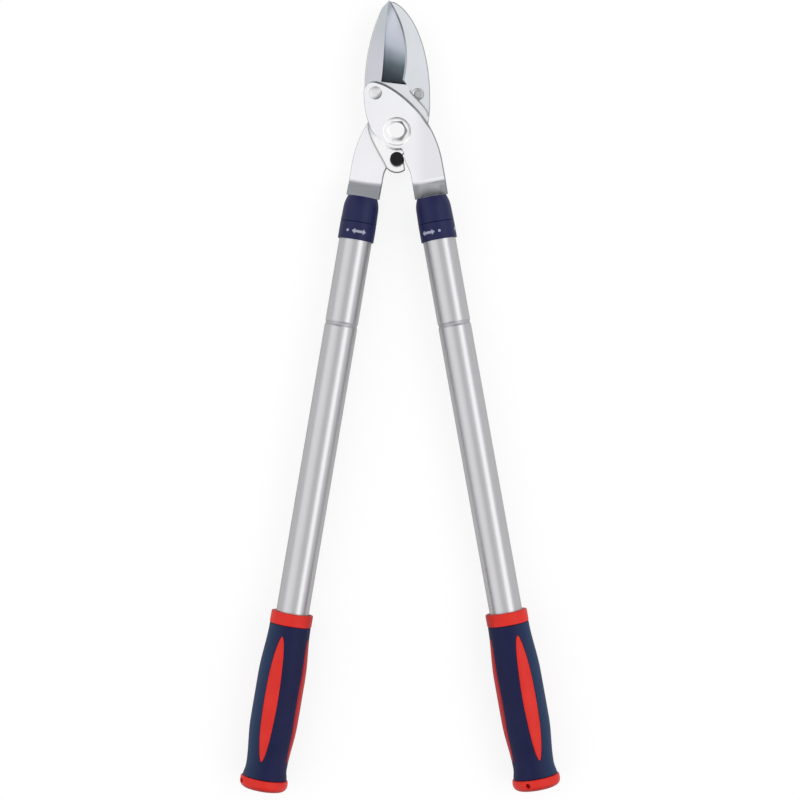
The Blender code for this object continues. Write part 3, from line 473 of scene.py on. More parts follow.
def honed_edge():
    """The narrow bevel along the cutting edge, which painted shade makes dark near the tip only."""
    steel, place = new_finish("honed_edge")
    marks = ground_marks(place, 0)
    tipward = eased(axis_of(place, "Y"), 0.072, 0.098)
    return feed(steel, blend_of(tipward, (0.40, 0.43, 0.46), (0.17, 0.175, 0.19)), 0.26 + 0.10 * marks,
                marks, 0.00002)


# Painted shade darkens the blade's face towards the tip, and painted light brightens it at the heel.
blade_flat = ground("ground_blade", 0, 45, (0.56, 0.57, 0.62), (0.68, 0.69, 0.73),
                    [(0.066, 0.092, (0.55, 0.585, 0.61)), (0.045, 0.040, (0.77, 0.775, 0.80))], 0.24)
# Painted light brightens the hook's tail, which is also smoother.
hook_flat = ground("ground_hook", 1, 60, (0.66, 0.685, 0.72), (0.80, 0.825, 0.855),
                   [(0.002, -0.006, (0.98, 0.98, 0.985))], 0.26, 0.16)
hollow = hollow_steel()
# Painted shade: the rims of the jaws are much darker than their faces.
spine_steel = plated("spine_steel", grey(0.46, 1.01), grey(0.58))
hook_rim = plated("hook_rim", grey(0.28, 1.01), grey(0.40), 0.30)
honed_steel = honed_edge()
print("finishes:", blade_flat.name, hook_flat.name, hollow.name)

# %% [markdown]
# ## Plastics and rubber
#
# The twist collars are satin navy plastic with a fine moulded grain. The sleeve of the grip is softer and
# duller. The core of the grip and its cap are red plastic. None of them is one flat colour: the moulding
# flows leave slight clouds, and the grain breaks up the shine. Painted light brightens the outer side of
# the sleeve, and painted shade darkens the inner side of the core and the dome of the cap.

# %% Moulded finishes
def moulded(name, dark, light, roughness, specular, grain_scale, grain_depth, on_handle=True, painted_tone=None):
    """A moulded plastic or rubber: clouds of two close colours under a fine grain.
    A tone of painted light or shade is an axis, the places where it starts and is full, and its colour."""
    material, place = new_finish(name, 0.0, specular, on_handle)
    clouds = cloudy(place, 55, 4)
    grain = cloudy(place, grain_scale, 2, 0.6)
    colour = blend_of(clouds, dark, light)
    if painted_tone:
        axis, begin, full, painted_colour = painted_tone
        colour = blend_of(eased(axis_of(place, axis), begin, full), colour, painted_colour)
    return feed(material, colour, roughness + 0.12 * grain + 0.06 * clouds, grain, grain_depth)


RED = (0.58, 0.013, 0.009), (0.74, 0.032, 0.020), 0.36, 0.20, 2600, 0.00002
navy_plastic = moulded("navy_plastic", (0.005, 0.007, 0.050), (0.012, 0.014, 0.074), 0.36, 0.24, 2600,
                       0.00002)
# Painted light brightens the sleeve on its outer side.
navy_rubber = moulded("navy_rubber", (0.001, 0.003, 0.034), (0.005, 0.008, 0.058), 0.50, 0.22, 1900,
                      0.00005, painted_tone=("X", 0.000, 0.020, (0.010, 0.031, 0.084)))
# Painted shade darkens the core on its inner side.
red_plastic = moulded("red_plastic", *RED, painted_tone=("X", -0.0110, -0.0175, (0.42, 0.010, 0.010)))
# Painted shade darkens the dome of the cap.
cap_plastic = moulded("cap_plastic", *RED,
                      painted_tone=("Z", CAP_START + 0.0056, CAP_START + 0.0100, (0.30, 0.006, 0.006)))
black_rubber = moulded("black_rubber", (0.002, 0.002, 0.004), (0.007, 0.007, 0.010), 0.46, 0.20, 1500,
                       0.00004, False)
plug_plastic = moulded("plug_plastic", (0.050, 0.050, 0.056), (0.085, 0.085, 0.092), 0.42, 0.4, 2000,
                       0.00003, False)
mark_paint = moulded("mark_paint", (0.26, 0.27, 0.36), (0.42, 0.43, 0.55), 0.5, 0.3, 2600, 0.00002)
print("moulded finishes: 7")

# %% [markdown]
# ## Finished pieces
#
# Each finished piece is a plain mesh whose object sits at the origin, as the CAD parts do. The helper
# `finished` welds a mesh, turns its faces outwards, shades it smoothly, and says which body the
# piece rides on and which CAD part it stands for. Weighted normals keep the flat faces flat where a
# narrow rounded edge meets them.

# %% Finish a piece
WELD = 0.000002


def mesh_of(shape, name, slots=0):
    """A mesh from a shape. Empty material slots let a boolean keep the finish of each face."""
    mesh = bpy.data.meshes.new(name)
    shape.to_mesh(mesh)
    shape.free()
    for _ in range(slots):
        mesh.materials.append(None)
    return mesh


def strip(shape, one, other, mark=0):
    """Faces between two rows of points."""
    for i in range(len(one) - 1):
        face = shape.faces.new((one[i], one[i + 1], other[i + 1], other[i]))
        face.material_index = mark


def tidied(mesh):
    """Welds a mesh and turns its faces outwards."""
    shape = bmesh.new()
    shape.from_mesh(mesh)
    bmesh.ops.remove_doubles(shape, verts=shape.verts, dist=WELD)
    bmesh.ops.dissolve_degenerate(shape, edges=shape.edges, dist=WELD)
    bmesh.ops.recalc_face_normals(shape, faces=shape.faces)
    shape.to_mesh(mesh)
    shape.free()
    return mesh


def plain_mesh(piece):
    """The mesh of an object after its modifiers, which are then removed."""
    state = bpy.context.evaluated_depsgraph_get()
    mesh = bpy.data.meshes.new_from_object(piece.evaluated_get(state))
    piece.modifiers.clear()
    piece.data = mesh
    return mesh


def taken_from(piece):
    """The plain mesh of a helper object, which is then deleted."""
    mesh = plain_mesh(piece)
    bpy.data.objects.remove(piece)
    return mesh


def finished(name, mesh, finishes, body, node, sharp=38):
    """Makes a mesh a finished piece of the tool."""
    piece = in_scene(name, tidied(mesh))
    marks = [face.material_index for face in mesh.polygons]
    mesh.materials.clear()
    for material in finishes:
        mesh.materials.append(material)
    mesh.polygons.foreach_set("material_index", marks)
    mesh.shade_smooth()
    mesh.set_sharp_from_angle(angle=radians(sharp))
    even = piece.modifiers.new("even_normals", "WEIGHTED_NORMAL")
    even.keep_sharp = True
    plain_mesh(piece)
    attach(piece, body)
    if node:
        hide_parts(node)
    uses = [0] * len(piece.data.edges)
    for loop in piece.data.loops:
        uses[loop.edge_index] += 1
    print(name + ":", len(piece.data.polygons), "faces, open edges", sum(1 for n in uses if n != 2))

# %% [markdown]
# ## Turned pieces
#
# Collars, washers, rivets and caps are all round, so each is drawn as half a section and turned
# about an axis. Moulded and machined corners are never quite sharp: `softened` swaps each corner of a
# section for a short curve, and that thin curve is what catches the light along an edge.

# %% Turn a section about the Z axis
QUARTER = [pi / 2 * i / 14 for i in range(15)]
CORNER_SHARE_MOST = 0.45


def softened(section, radius, steps=3, closed=True):
    """A section whose corners are swapped for short curves that start a radius away from them."""
    points = [Vector(p) for p in section]
    rounded = []
    for i, corner in enumerate(points):
        if not closed and i in (0, len(points) - 1):
            rounded.append(corner)
            continue
        before = points[i - 1] - corner
        after = points[(i + 1) % len(points)] - corner
        start = corner + before.normalized() * min(radius, before.length * CORNER_SHARE_MOST)
        end = corner + after.normalized() * min(radius, after.length * CORNER_SHARE_MOST)
        for step in range(steps + 1):
            t = step / steps
            rounded.append((1 - t) ** 2 * start + 2 * t * (1 - t) * corner + t * t * end)
    return [(p.x, p.y) for p in rounded]


def turned(section, sides=96):
    """A closed skin turned about Z from (radius, height) points."""
    shape = bmesh.new()
    rings = []
    for radius, height in section:
        if radius < WELD:
            rings.append([shape.verts.new((0, 0, height))] * sides)
        else:
            angles = [2 * pi * i / sides for i in range(sides)]
            rings.append([shape.verts.new((radius * cos(a), radius * sin(a), height)) for a in angles])
    for ring, after in zip(rings, rings[1:] + rings[:1]):
        for i in range(sides):
            corners = list(dict.fromkeys([ring[i - 1], ring[i], after[i], after[i - 1]]))
            if len(corners) > 2:
                shape.faces.new(corners)
    return mesh_of(shape, "turned")


def moved(mesh, x, y):
    """Moves an upright piece over the plan."""
    mesh.transform(Matrix.Translation((x, y, 0)))
    return mesh


print("turning helpers ready")

# %% [markdown]
# ## Laying a piece on its handle
#
# Handle pieces are made upright, with `s` as their height, because that is the easiest way to think
# about a turned piece. One matrix per side then lays them on the handle. Before that, the upright
# coordinates are saved on the mesh for the patterns. Both sides are made this way, and the left handle
# is the mirror image of the right one, so faces are turned outwards again afterwards.

# %% Lay a piece on a handle
SIDES = {"left": -1, "right": 1}


def handle_frame(side):
    """From upright handle coordinates (out from the other handle, up, down the handle) to the tool's."""
    sign = SIDES[side]
    outward = Vector((sign * cos(HANDLE_LEAN), sin(HANDLE_LEAN), 0))
    down = Vector((sign * sin(HANDLE_LEAN), -cos(HANDLE_LEAN), 0))
    up = Vector((0, 0, 1))
    foot = outward * HANDLE_OFFSET + up * AXIS_HEIGHT
    return Matrix.Translation(foot) @ Matrix((outward, up, down)).transposed().to_4x4()


def handle_piece(side, name, mesh, finish, node=None, body=None, sharp=38):
    """Saves an upright mesh's coordinates, lays it on a handle and finishes it there."""
    saved = mesh.attributes.new(HANDLE_PLACE, "FLOAT_VECTOR", "POINT")
    for vert in mesh.vertices:
        saved.data[vert.index].vector = vert.co
    mesh.transform(handle_frame(side))
    finished(side + "_" + name, mesh, [finish], body or side + "_handle", node and side + "_" + node,
             sharp)


print("handle frames ready")

# %% [markdown]
# ## The tubes
#
# Four tubes follow one rule: a straight pipe, whose radius dips in a smooth rolled groove on the outer
# ones. The groove is where the plug on the inner tube stops when the handle is pulled out. Geometry
# Nodes sweep a circle along a line. Most of the line's points are spent on the groove, and the radius at
# each point is worked out from its distance to the groove. A Solidify modifier then gives the wall.

# %% Geometry Nodes: a pipe with a rolled groove
def new_group(name, inputs):
    """A Geometry Nodes group: a wire to build on, and the wires of its inputs."""
    tree = bpy.data.node_groups.new(name, "GeometryNodeTree")
    for label, kind in inputs.items():
        tree.interface.new_socket(label, in_out="INPUT", socket_type="NodeSocket" + kind)
    tree.interface.new_socket("Geometry", in_out="OUTPUT", socket_type="NodeSocketGeometry")
    given = tree.nodes.new("NodeGroupInput")
    return Wire(tree), {socket.name: Wire(tree, socket) for socket in given.outputs}


def shaped(group, values, mesh):
    """The helper object of a node group with its named inputs."""
    piece = in_scene("helper", mesh)
    modifier = piece.modifiers.new("shape", "NODES")
    modifier.node_group = group
    for item in group.interface.items_tree:
        if item.in_out == "INPUT" and item.name in values:
            modifier[item.identifier] = values[item.name]
    return piece


PIPE_POINTS = 61
PIPE_SIDES = 96
STRAIGHT_SHARE = 0.2
PIPE_INPUTS = ("Start", "End", "Radius", "Groove At", "Groove Half Width", "Groove Depth")


def pipe_tree():
    """Start, End, Radius and the groove's place, half width and depth, to a swept skin."""
    wire, size = new_group("grooved_pipe", dict.fromkeys(PIPE_INPUTS, "Float"))
    number = wire.sum_of
    line = wire.node("GeometryNodeCurvePrimitiveLine", None, {"Start": (0, 0, 0), "End": (0, 0, 1)})
    line = wire.node("GeometryNodeResampleCurve", None, {"Curve": line, "Count": PIPE_POINTS})
    share = number("DIVIDE", wire.node("GeometryNodeInputIndex"), PIPE_POINTS - 1)
    near = size["Groove At"] - size["Groove Half Width"]
    far = size["Groove At"] + size["Groove Half Width"]
    before = number("DIVIDE", share, STRAIGHT_SHARE, True)
    within = number("DIVIDE", share - STRAIGHT_SHARE, 1 - 2 * STRAIGHT_SHARE, True)
    after = number("DIVIDE", share - (1 - STRAIGHT_SHARE), STRAIGHT_SHARE, True)
    height = (size["Start"] + before * (near - size["Start"]) + within * (far - near)
              + after * (size["End"] - far))
    place = wire.node("ShaderNodeCombineXYZ", None, {"Z": height})
    line = wire.node("GeometryNodeSetPosition", None, {"Geometry": line, "Position": place})
    across = number("DIVIDE", height - size["Groove At"], size["Groove Half Width"])
    bowl = number("SUBTRACT", 1.0, across * across, True)
    radius = size["Radius"] - size["Groove Depth"] * bowl * bowl
    circle = wire.node("GeometryNodeCurvePrimitiveCircle", None, {"Resolution": PIPE_SIDES, "Radius": 1.0})
    skin = wire.node("GeometryNodeCurveToMesh", None,
                     {"Curve": line, "Profile Curve": circle, "Scale": radius})
    wire.node("NodeGroupOutput", None, {"Geometry": skin})
    return wire.tree


pipe = pipe_tree()
print("pipe tree nodes:", len(pipe.nodes))

# %% Make the four tubes
GROOVE_DEPTH = OUTER_RADIUS - TUBE_WALL - SLIDE_BORE


def swept_tube(start, end, radius, wall, groove_depth):
    """One tube, upright, with its wall."""
    numbers = (start, end, radius, GROOVE_AT, GROOVE_HALF_WIDTH, groove_depth)
    piece = shaped(pipe, dict(zip(PIPE_INPUTS, numbers)), bpy.data.meshes.new("tube"))
    thick = piece.modifiers.new("wall", "SOLIDIFY")
    thick.thickness = wall
    thick.offset = -1
    mesh = taken_from(piece)
    radii = [sqrt(v.co.x ** 2 + v.co.y ** 2) for v in mesh.vertices]
    print("tube radii, mm:", round(min(radii) * 1000, 2), "to", round(max(radii) * 1000, 2))
    return mesh


for side in SIDES:
    tube = swept_tube(OUTER_TUBE_START, OUTER_TUBE_END, OUTER_RADIUS, TUBE_WALL, GROOVE_DEPTH)
    handle_piece(side, "outer_tube_drawn", tube, outer_tube_finish, "outer_tube")

# %% [markdown]
# The inner tube is the same pipe without a groove. A pin goes through it to hold the arm's tang, and
# shows when the handle is pulled out, so the pipe is drilled for it.

# %% The inner tubes, drilled for their pins
def drilled(mesh, tools, operation="DIFFERENCE"):
    """A mesh after a boolean with each tool, which is cut out of it if nothing else is asked for."""
    for tool_mesh in tools:
        body = in_scene("body", mesh)
        tool = in_scene("tool", tidied(tool_mesh))
        cut = body.modifiers.new("cut", "BOOLEAN")
        cut.operation = operation
        cut.object = tool
        mesh = taken_from(body)
        bpy.data.objects.remove(tool)
    return mesh


def bar(radius, low, high, x=0.0, y=0.0, sides=48):
    """A plain round bar along Z, for holes and shanks."""
    return moved(turned([(0, low), (radius, low), (radius, high), (0, high)], sides), x, y)


CROSS_REACH = 0.03


def cross_bar(radius, s):
    """A bar that goes across an upright handle at a station."""
    mesh = bar(radius, -CROSS_REACH, CROSS_REACH)
    mesh.transform(Matrix.Translation((0, 0, s)) @ Matrix.Rotation(pi / 2, 4, "X"))
    return mesh


ARM_BODY = {"left": "hook_side", "right": "blade_side"}
for side in SIDES:
    tube = tidied(swept_tube(INNER_TUBE_START, INNER_TUBE_END, INNER_RADIUS, INNER_WALL, 0.0))
    tube = drilled(tube, [cross_bar(PIN_HOLE, PIN_AT)])
    handle_piece(side, "inner_tube_drawn", tube, inner_tube_finish, "inner_tube",
                 ARM_BODY[side])

# %% [markdown]
# ## The twist locks
#
# Turning the collar squeezes a split ring on to the inner tube, which holds the handle at any length.
# The collar has a long rounded shoulder and hides the end of the arm. Below it, the ferrule is fixed to
# the outer tube. The dark line between them is a real gap with softened edges, not a painted one.

# %% Collars and ferrules
COLLAR_MOUTH = SLIDE_BORE + 0.0008
COLLAR_CREST = OUTER_RADIUS + 0.0010
BAND_RADIUS = OUTER_RADIUS + 0.0014
COLLAR_SHOULDER_LENGTH = 0.0110
COLLAR_TAPER_LENGTH = 0.0040
COLLAR_STEP = COLLAR_START + 0.0068
COLLET_LENGTH = 0.0060
COLLAR_EASE = 0.0005


def collar_section():
    """The collar's closed section: bore, shoulder, body and the step round the split ring."""
    section = [(SLIDE_BORE, COLLAR_START)]
    for i in range(13):
        share = i / 12
        radius = COLLAR_CREST - (COLLAR_CREST - COLLAR_MOUTH) * (1 - share) ** 2
        section.append((radius, COLLAR_START + COLLAR_SHOULDER_LENGTH * share))
    section += softened([(COLLAR_CREST, COLLAR_END - COLLAR_TAPER_LENGTH), (BAND_RADIUS, COLLAR_END),
                         (COLLAR_BORE, COLLAR_END), (COLLAR_BORE, COLLAR_STEP), (SLIDE_BORE, COLLAR_STEP)],
                        COLLAR_EASE, closed=False)[1:]
    return section


def ferrule_section():
    """The ferrule's closed section: the nose inside the collar, and the band over the tube's mouth."""
    mouth = OUTER_TUBE_START - GAP
    start = COLLAR_STEP + GAP + COLLET_LENGTH + GAP
    return softened([(SLIDE_BORE, start), (NOSE_RADIUS, start), (NOSE_RADIUS, FERRULE_START),
                     (BAND_RADIUS, FERRULE_START), (BAND_RADIUS, FERRULE_END),
                     (OUTER_RADIUS + GAP, FERRULE_END), (OUTER_RADIUS + GAP, mouth), (SLIDE_BORE, mouth)],
                    COLLAR_EASE)


for side in SIDES:
    handle_piece(side, "collar_moulded", turned(collar_section()), navy_plastic,
                 "lock_collar", side + "_lock")
    handle_piece(side, "ferrule_moulded", turned(ferrule_section()), navy_plastic,
                 "collar_ferrule")

# %% [markdown]
# ## Marks on the ferrules
#
# Pale marks are printed round each ferrule to show which way the collar turns. Here they are a plain
# double arrow and a dot, three times round. One arrow and one dot are drawn on the flat, bent on to the
# band and given the thickness of a coat of paint. Geometry Nodes set them round the ring.

# %% One arrow and one dot, bent round the band
PAINT = 0.00008
BEND_STRIPS = 6
ARROW_TIP = 0.0064
ARROW_NECK = 0.0036
ARROW_WIDE = 0.0025
ARROW_SLIM = 0.0011
DOT_RADIUS = 0.0012
DOT_SIDES = 20
DOT_TURN = radians(38)
MARK_AT = FERRULE_START + 0.0082


def cut_across(shape, place, normal, near=0.0):
    """Cuts all faces of a shape along a plane."""
    parts = shape.verts[:] + shape.edges[:] + shape.faces[:]
    bmesh.ops.bisect_plane(shape, geom=parts, plane_co=place, plane_no=normal, dist=near)


def raised(points, base, height):
    """A shape: a plate over the points of an outline."""
    shape = bmesh.new()
    face = shape.faces.new([shape.verts.new((x, y, base)) for x, y in points])
    made = bmesh.ops.extrude_face_region(shape, geom=[face])["geom"]
    tops = [item for item in made if isinstance(item, bmesh.types.BMVert)]
    bmesh.ops.translate(shape, verts=tops, vec=(0, 0, height))
    return shape


def bent_patch(outline):
    """A thin patch on the band from (arc, along) points on the flat, cut in strips so that it can bend."""
    shape = raised(outline, 0, PAINT * 2)
    reach = max(abs(x) for x, _ in outline)
    for i in range(-BEND_STRIPS, BEND_STRIPS + 1):
        cut_across(shape, (reach * i / (BEND_STRIPS + 0.5), 0, 0), (1, 0, 0))
    for vert in shape.verts:
        turn = vert.co.x / BAND_RADIUS
        radius = BAND_RADIUS - PAINT + vert.co.z
        vert.co = Vector((radius * sin(turn), radius * cos(turn), MARK_AT + vert.co.y))
    return mesh_of(shape, "mark")


arrow = bent_patch([(-ARROW_TIP, 0), (-ARROW_NECK, -ARROW_WIDE), (-ARROW_NECK, -ARROW_SLIM),
                    (ARROW_NECK, -ARROW_SLIM), (ARROW_NECK, -ARROW_WIDE), (ARROW_TIP, 0),
                    (ARROW_NECK, ARROW_WIDE), (ARROW_NECK, ARROW_SLIM), (-ARROW_NECK, ARROW_SLIM),
                    (-ARROW_NECK, ARROW_WIDE)])
dot_turns = [2 * pi * i / DOT_SIDES for i in range(DOT_SIDES)]
dot = bent_patch([(DOT_RADIUS * cos(a), DOT_RADIUS * sin(a)) for a in dot_turns])
dot.transform(Matrix.Rotation(-DOT_TURN, 4, "Z"))
print("arrow faces:", len(arrow.polygons), "dot faces:", len(dot.polygons))

# %% Geometry Nodes: set the marks round the ring
MARK_COUNT = 3
MARK_TURNS = {"left": radians(8), "right": radians(34)}


def ring_tree():
    """Count and Turn, to copies of a mark round the Z axis."""
    wire, size = new_group("ring_of_marks", {"Geometry": "Geometry", "Count": "Int", "Turn": "Float"})
    points = wire.node("GeometryNodeMeshLine", None,
                       {"Count": size["Count"], "Start Location": (0, 0, 0), "Offset": (0, 0, 0)})
    step = wire.sum_of("DIVIDE", 2 * pi, size["Count"])
    turn = size["Turn"] + wire.node("GeometryNodeInputIndex") * step
    turning = wire.node("FunctionNodeAxisAngleToRotation", None, {"Axis": (0, 0, 1), "Angle": turn})
    marks = wire.node("GeometryNodeInstanceOnPoints", None,
                      {"Points": points, "Instance": size["Geometry"], "Rotation": turning})
    marks = wire.node("GeometryNodeRealizeInstances", None, {"Geometry": marks})
    wire.node("NodeGroupOutput", None, {"Geometry": marks})
    return wire.tree


ring = ring_tree()
for side in SIDES:
    for name, mark in (("arrows", arrow), ("dots", dot)):
        marks = taken_from(shaped(ring, {"Count": MARK_COUNT, "Turn": MARK_TURNS[side]}, mark.copy()))
        handle_piece(side, "lock_" + name, marks, mark_paint)

# %% [markdown]
# ## The grips
#
# A grip is moulded in two steps. First comes a hard red core with a ring at its top and four raised
# inlays. A soft navy sleeve is then moulded round it, and leaves the inlays showing. The two share one
# outer shape, so one rule gives the radius of both: a barrel, a neck above the cap and a small flare.

# %% The grip's outer shape and its inlays
SLEEVE_WALLS = [(0, 0.0015), (0.0460, 0.00425), (0.0850, 0.00425), (0.1270, 0.0014),
                (OUTER_TUBE_END - SLEEVE_START, 0.0028)]
INLAY_HALF_WIDTH = 0.0062
INLAY_HALF_LENGTH = 0.0554
INLAY_CENTRE = SLEEVE_START + 0.0648
INLAY_POINT = 0.55
INLAY_TURNS = {"left": [radians(a) for a in (15, 104, 192, 285)],
               "right": [radians(a) for a in (18, 104, 192, 284)]}
WINDOW_MARGIN = 0.00025


def grip_radius(s):
    """The grip's outer radius at a station."""
    down = s - SLEEVE_START
    for (start, wall), (end, after) in zip(SLEEVE_WALLS, SLEEVE_WALLS[1:]):
        if down <= end:
            break
    share = min(max((down - start) / (end - start), 0), 1)
    return SLEEVE_BORE + wall + (after - wall) * (1 - cos(pi * share)) / 2


def spindle(s, margin=0.0):
    """Half the width of an inlay, or of its window, at a station."""
    share = (s - INLAY_CENTRE) / (INLAY_HALF_LENGTH + margin)
    return (INLAY_HALF_WIDTH + margin) * (1 - min(share * share, 1)) ** INLAY_POINT


def on_grip(turn, radius, s):
    """A point of an upright grip, from its turn off the top of the tool."""
    return Vector((radius * sin(turn), radius * cos(turn), s))


print("barrel radius, mm:", round(grip_radius(SLEEVE_START + 0.06) * 1000, 2))

# %% [markdown]
# The red core is turned, and each inlay is a small grid of its own: rows down the grip, closer together
# near the pointed ends, and columns across. Its rim sinks a little, so that a thin dark line runs round
# each inlay as on the real grip.

# %% The red core
INLAY_PROUD = 0.00012
INLAY_DRAWN_SHARE = 0.9995
INLAY_ROWS = 44
INLAY_COLUMNS = 12
INLAY_RIM_DROP = 0.00055
RING_RADIUS = OUTER_RADIUS + 0.0040
RING_EASE = 0.0011


def skin_between(shape, tops, bottoms, walled=lambda i: True):
    """Faces over rows of outer and inner points, with walls at both ends and, where walled, at the sides."""
    tops = [[shape.verts.new(point) for point in row] for row in tops]
    bottoms = [[shape.verts.new(point) for point in row] for row in bottoms]
    for i in range(len(tops) - 1):
        strip(shape, tops[i], tops[i + 1])
        strip(shape, bottoms[i], bottoms[i + 1])
        for j in (0, -1) if walled(i) else ():
            shape.faces.new((tops[i][j], bottoms[i][j], bottoms[i + 1][j], tops[i + 1][j]))
    for i in (0, -1):
        strip(shape, tops[i], bottoms[i])


def add_inlay(shape, turn):
    """Adds one inlay as a closed shell that stands in the core."""
    tops, bottoms = [], []
    shares = [-cos(pi * j / INLAY_COLUMNS) for j in range(INLAY_COLUMNS + 1)]
    for i in range(INLAY_ROWS + 1):
        s = INLAY_CENTRE - INLAY_HALF_LENGTH * INLAY_DRAWN_SHARE * cos(pi * i / INLAY_ROWS)
        radii = [grip_radius(s) + INLAY_PROUD - INLAY_RIM_DROP * share ** 8 for share in shares]
        turns = [turn + asin(spindle(s) * share / radius) for share, radius in zip(shares, radii)]
        tops.append([on_grip(away, radius, s) for away, radius in zip(turns, radii)])
        bottoms.append([on_grip(away, CORE_RADIUS - GAP, s) for away in turns])
    skin_between(shape, tops, bottoms)


def core_section():
    """The core's closed section: the ring at its top and the tube under the sleeve."""
    ring_end = SLEEVE_START - GAP
    outer = softened([(CORE_BORE, GRIP_START), (RING_RADIUS, GRIP_START), (RING_RADIUS, ring_end),
                      (CORE_RADIUS, ring_end)], RING_EASE, 4, closed=False)
    return outer + [(CORE_RADIUS, OUTER_TUBE_END), (CORE_BORE, OUTER_TUBE_END)]


for side in SIDES:
    core = bmesh.new()
    core.from_mesh(tidied(turned(core_section())))
    for turn in INLAY_TURNS[side]:
        add_inlay(core, turn)
    handle_piece(side, "grip_core_moulded", mesh_of(core, "core"), red_plastic, "grip_core",
                 sharp=50)

# %% [markdown]
# Cutting spindle-shaped windows from a smooth sleeve with a boolean would leave long thin faces that
# shade badly. So the sleeve is four panels, one between each pair of windows. The columns of a panel
# follow the rims of its two windows, where they lie closer together and sink, and so round the rim off.

# %% The navy sleeve
EASE = 0.0006
RIM_STEPS = (0, 0.15, 0.45, 1.0)
RIM_DROP = 0.8 * EASE
PANEL_COLUMNS = 14
WINDOW_ROWS = 48
FULL_WINDOW = radians(4)
LEAST_WINDOW = 0.0001
END_STEPS = (0.2, 0.6, 1.3)
FLARE_SHARES = (0.2, 0.4, 0.6, 0.8)


def sleeve_rows():
    """Stations down the sleeve: close at its ends and at the ends of the windows."""
    top, bottom = SLEEVE_START, OUTER_TUBE_END
    half = INLAY_HALF_LENGTH + WINDOW_MARGIN
    first, last = INLAY_CENTRE - half, INLAY_CENTRE + half
    rows = [top] + [top + step * EASE for step in END_STEPS] + [(top + first) / 2]
    rows += [INLAY_CENTRE - half * cos(pi * i / WINDOW_ROWS) for i in range(WINDOW_ROWS + 1)]
    rows += [last + (bottom - last) * share for share in FLARE_SHARES]
    return rows + [bottom - step * EASE for step in reversed(END_STEPS)] + [bottom]


def edge_drop(distance):
    """How far a rounded rim sinks at a distance from its edge."""
    share = min(distance / EASE, 1)
    return RIM_DROP * (1 - sqrt(max(1 - (1 - share) ** 2, 0)))


def panel_columns(start, end, radius, opened):
    """The angles of one panel's columns and how far each sinks at the windows' rims."""
    near = [start + EASE / radius * step for step in RIM_STEPS]
    far = [end - EASE / radius * step for step in reversed(RIM_STEPS)]
    inner = [near[-1] + (far[0] - near[-1]) * i / PANEL_COLUMNS for i in range(1, PANEL_COLUMNS)]
    drops = [edge_drop(EASE * step) * opened for step in RIM_STEPS]
    return list(zip(near + inner + far, drops + [0] * len(inner) + drops[::-1]))


def sleeve_mesh(turns):
    """The sleeve with a window at each turn, as one closed skin."""
    shape = bmesh.new()
    rows = sleeve_rows()
    for left, right in zip(turns, turns[1:] + [turns[0] + 2 * pi]):
        outer, inner, opens = [], [], []
        for s in rows:
            radius = grip_radius(s) - edge_drop(min(s - rows[0], rows[-1] - s))
            opening = asin(min(spindle(s, WINDOW_MARGIN) / radius, 1))
            columns = panel_columns(left + opening, right - opening, radius, min(opening / FULL_WINDOW, 1))
            outer.append([on_grip(turn, radius - drop, s) for turn, drop in columns])
            inner.append([on_grip(turn, SLEEVE_BORE, s) for turn, _ in columns])
            opens.append(opening > LEAST_WINDOW)
        skin_between(shape, outer, inner, lambda i: opens[i] or opens[i + 1])
    return mesh_of(shape, "sleeve")


for side in SIDES:
    handle_piece(side, "grip_sleeve_moulded", sleeve_mesh(INLAY_TURNS[side]), navy_rubber,
                 "grip_sleeve", sharp=50)

# %% [markdown]
# The cap closes the tube. It is a shallow dome with a small hole in its side, where the mould's pin
# was. The hole is cut with a boolean, since nothing but a round hole is wanted there.

# %% The end caps
CAP_RIM = OUTER_RADIUS + 0.0066
CAP_END = CAP_START + 0.0103
CAP_PLUG_LENGTH = 0.0100
CAP_RIM_HEIGHT = 0.0022
CAP_EASE = 0.0006
DOME_WIDTH = 0.0062
DOME_HEIGHT = 0.0058
DOME_TOP = [(0.008, CAP_END + 0.0005), (0.004, CAP_END + 0.0008), (0, CAP_END + 0.0009)]
CAP_HOLE_RADIUS = 0.0022
CAP_HOLE_DEPTH = 0.005
CAP_HOLE_AT = CAP_START + 0.0042
CAP_HOLE_TURNS = {"left": radians(65), "right": radians(-24)}


def cap_section():
    """Half the cap's section, from the plug inside the tube over the rim to the dome."""
    guide = OUTER_RADIUS - TUBE_WALL - GAP
    plug = CAP_START - CAP_PLUG_LENGTH
    section = softened([(0, plug), (guide, plug), (guide, CAP_START), (CAP_RIM - CAP_EASE, CAP_START),
                        (CAP_RIM, CAP_START + CAP_RIM_HEIGHT)], CAP_EASE, closed=False)
    section += [(CAP_RIM - DOME_WIDTH * (1 - cos(t)), CAP_END - DOME_HEIGHT * (1 - sin(t)))
                for t in QUARTER]
    return section + DOME_TOP


for side in SIDES:
    hole = bar(CAP_HOLE_RADIUS, CAP_RIM - CAP_HOLE_DEPTH, CAP_RIM + CAP_HOLE_DEPTH)
    hole.transform(Matrix.Rotation(-pi / 2, 4, "X"))
    hole.transform(Matrix.Rotation(-CAP_HOLE_TURNS[side], 4, "Z"))
    hole.transform(Matrix.Translation((0, 0, CAP_HOLE_AT)))
    cap = drilled(tidied(turned(cap_section())), [hole])
    handle_piece(side, "end_cap_moulded", cap, cap_plastic, "end_cap")

# %% [markdown]
# ## Outlines of the head
#
# The arms and jaws are flat plates, so what counts is their outline in the plan. It is drawn with arcs
# and smooth curves between a few known points: the bolt, the rivets, the tips of the jaws and the
# bumper. Points on the jaws are given as shares, across and along, as in the CAD model.

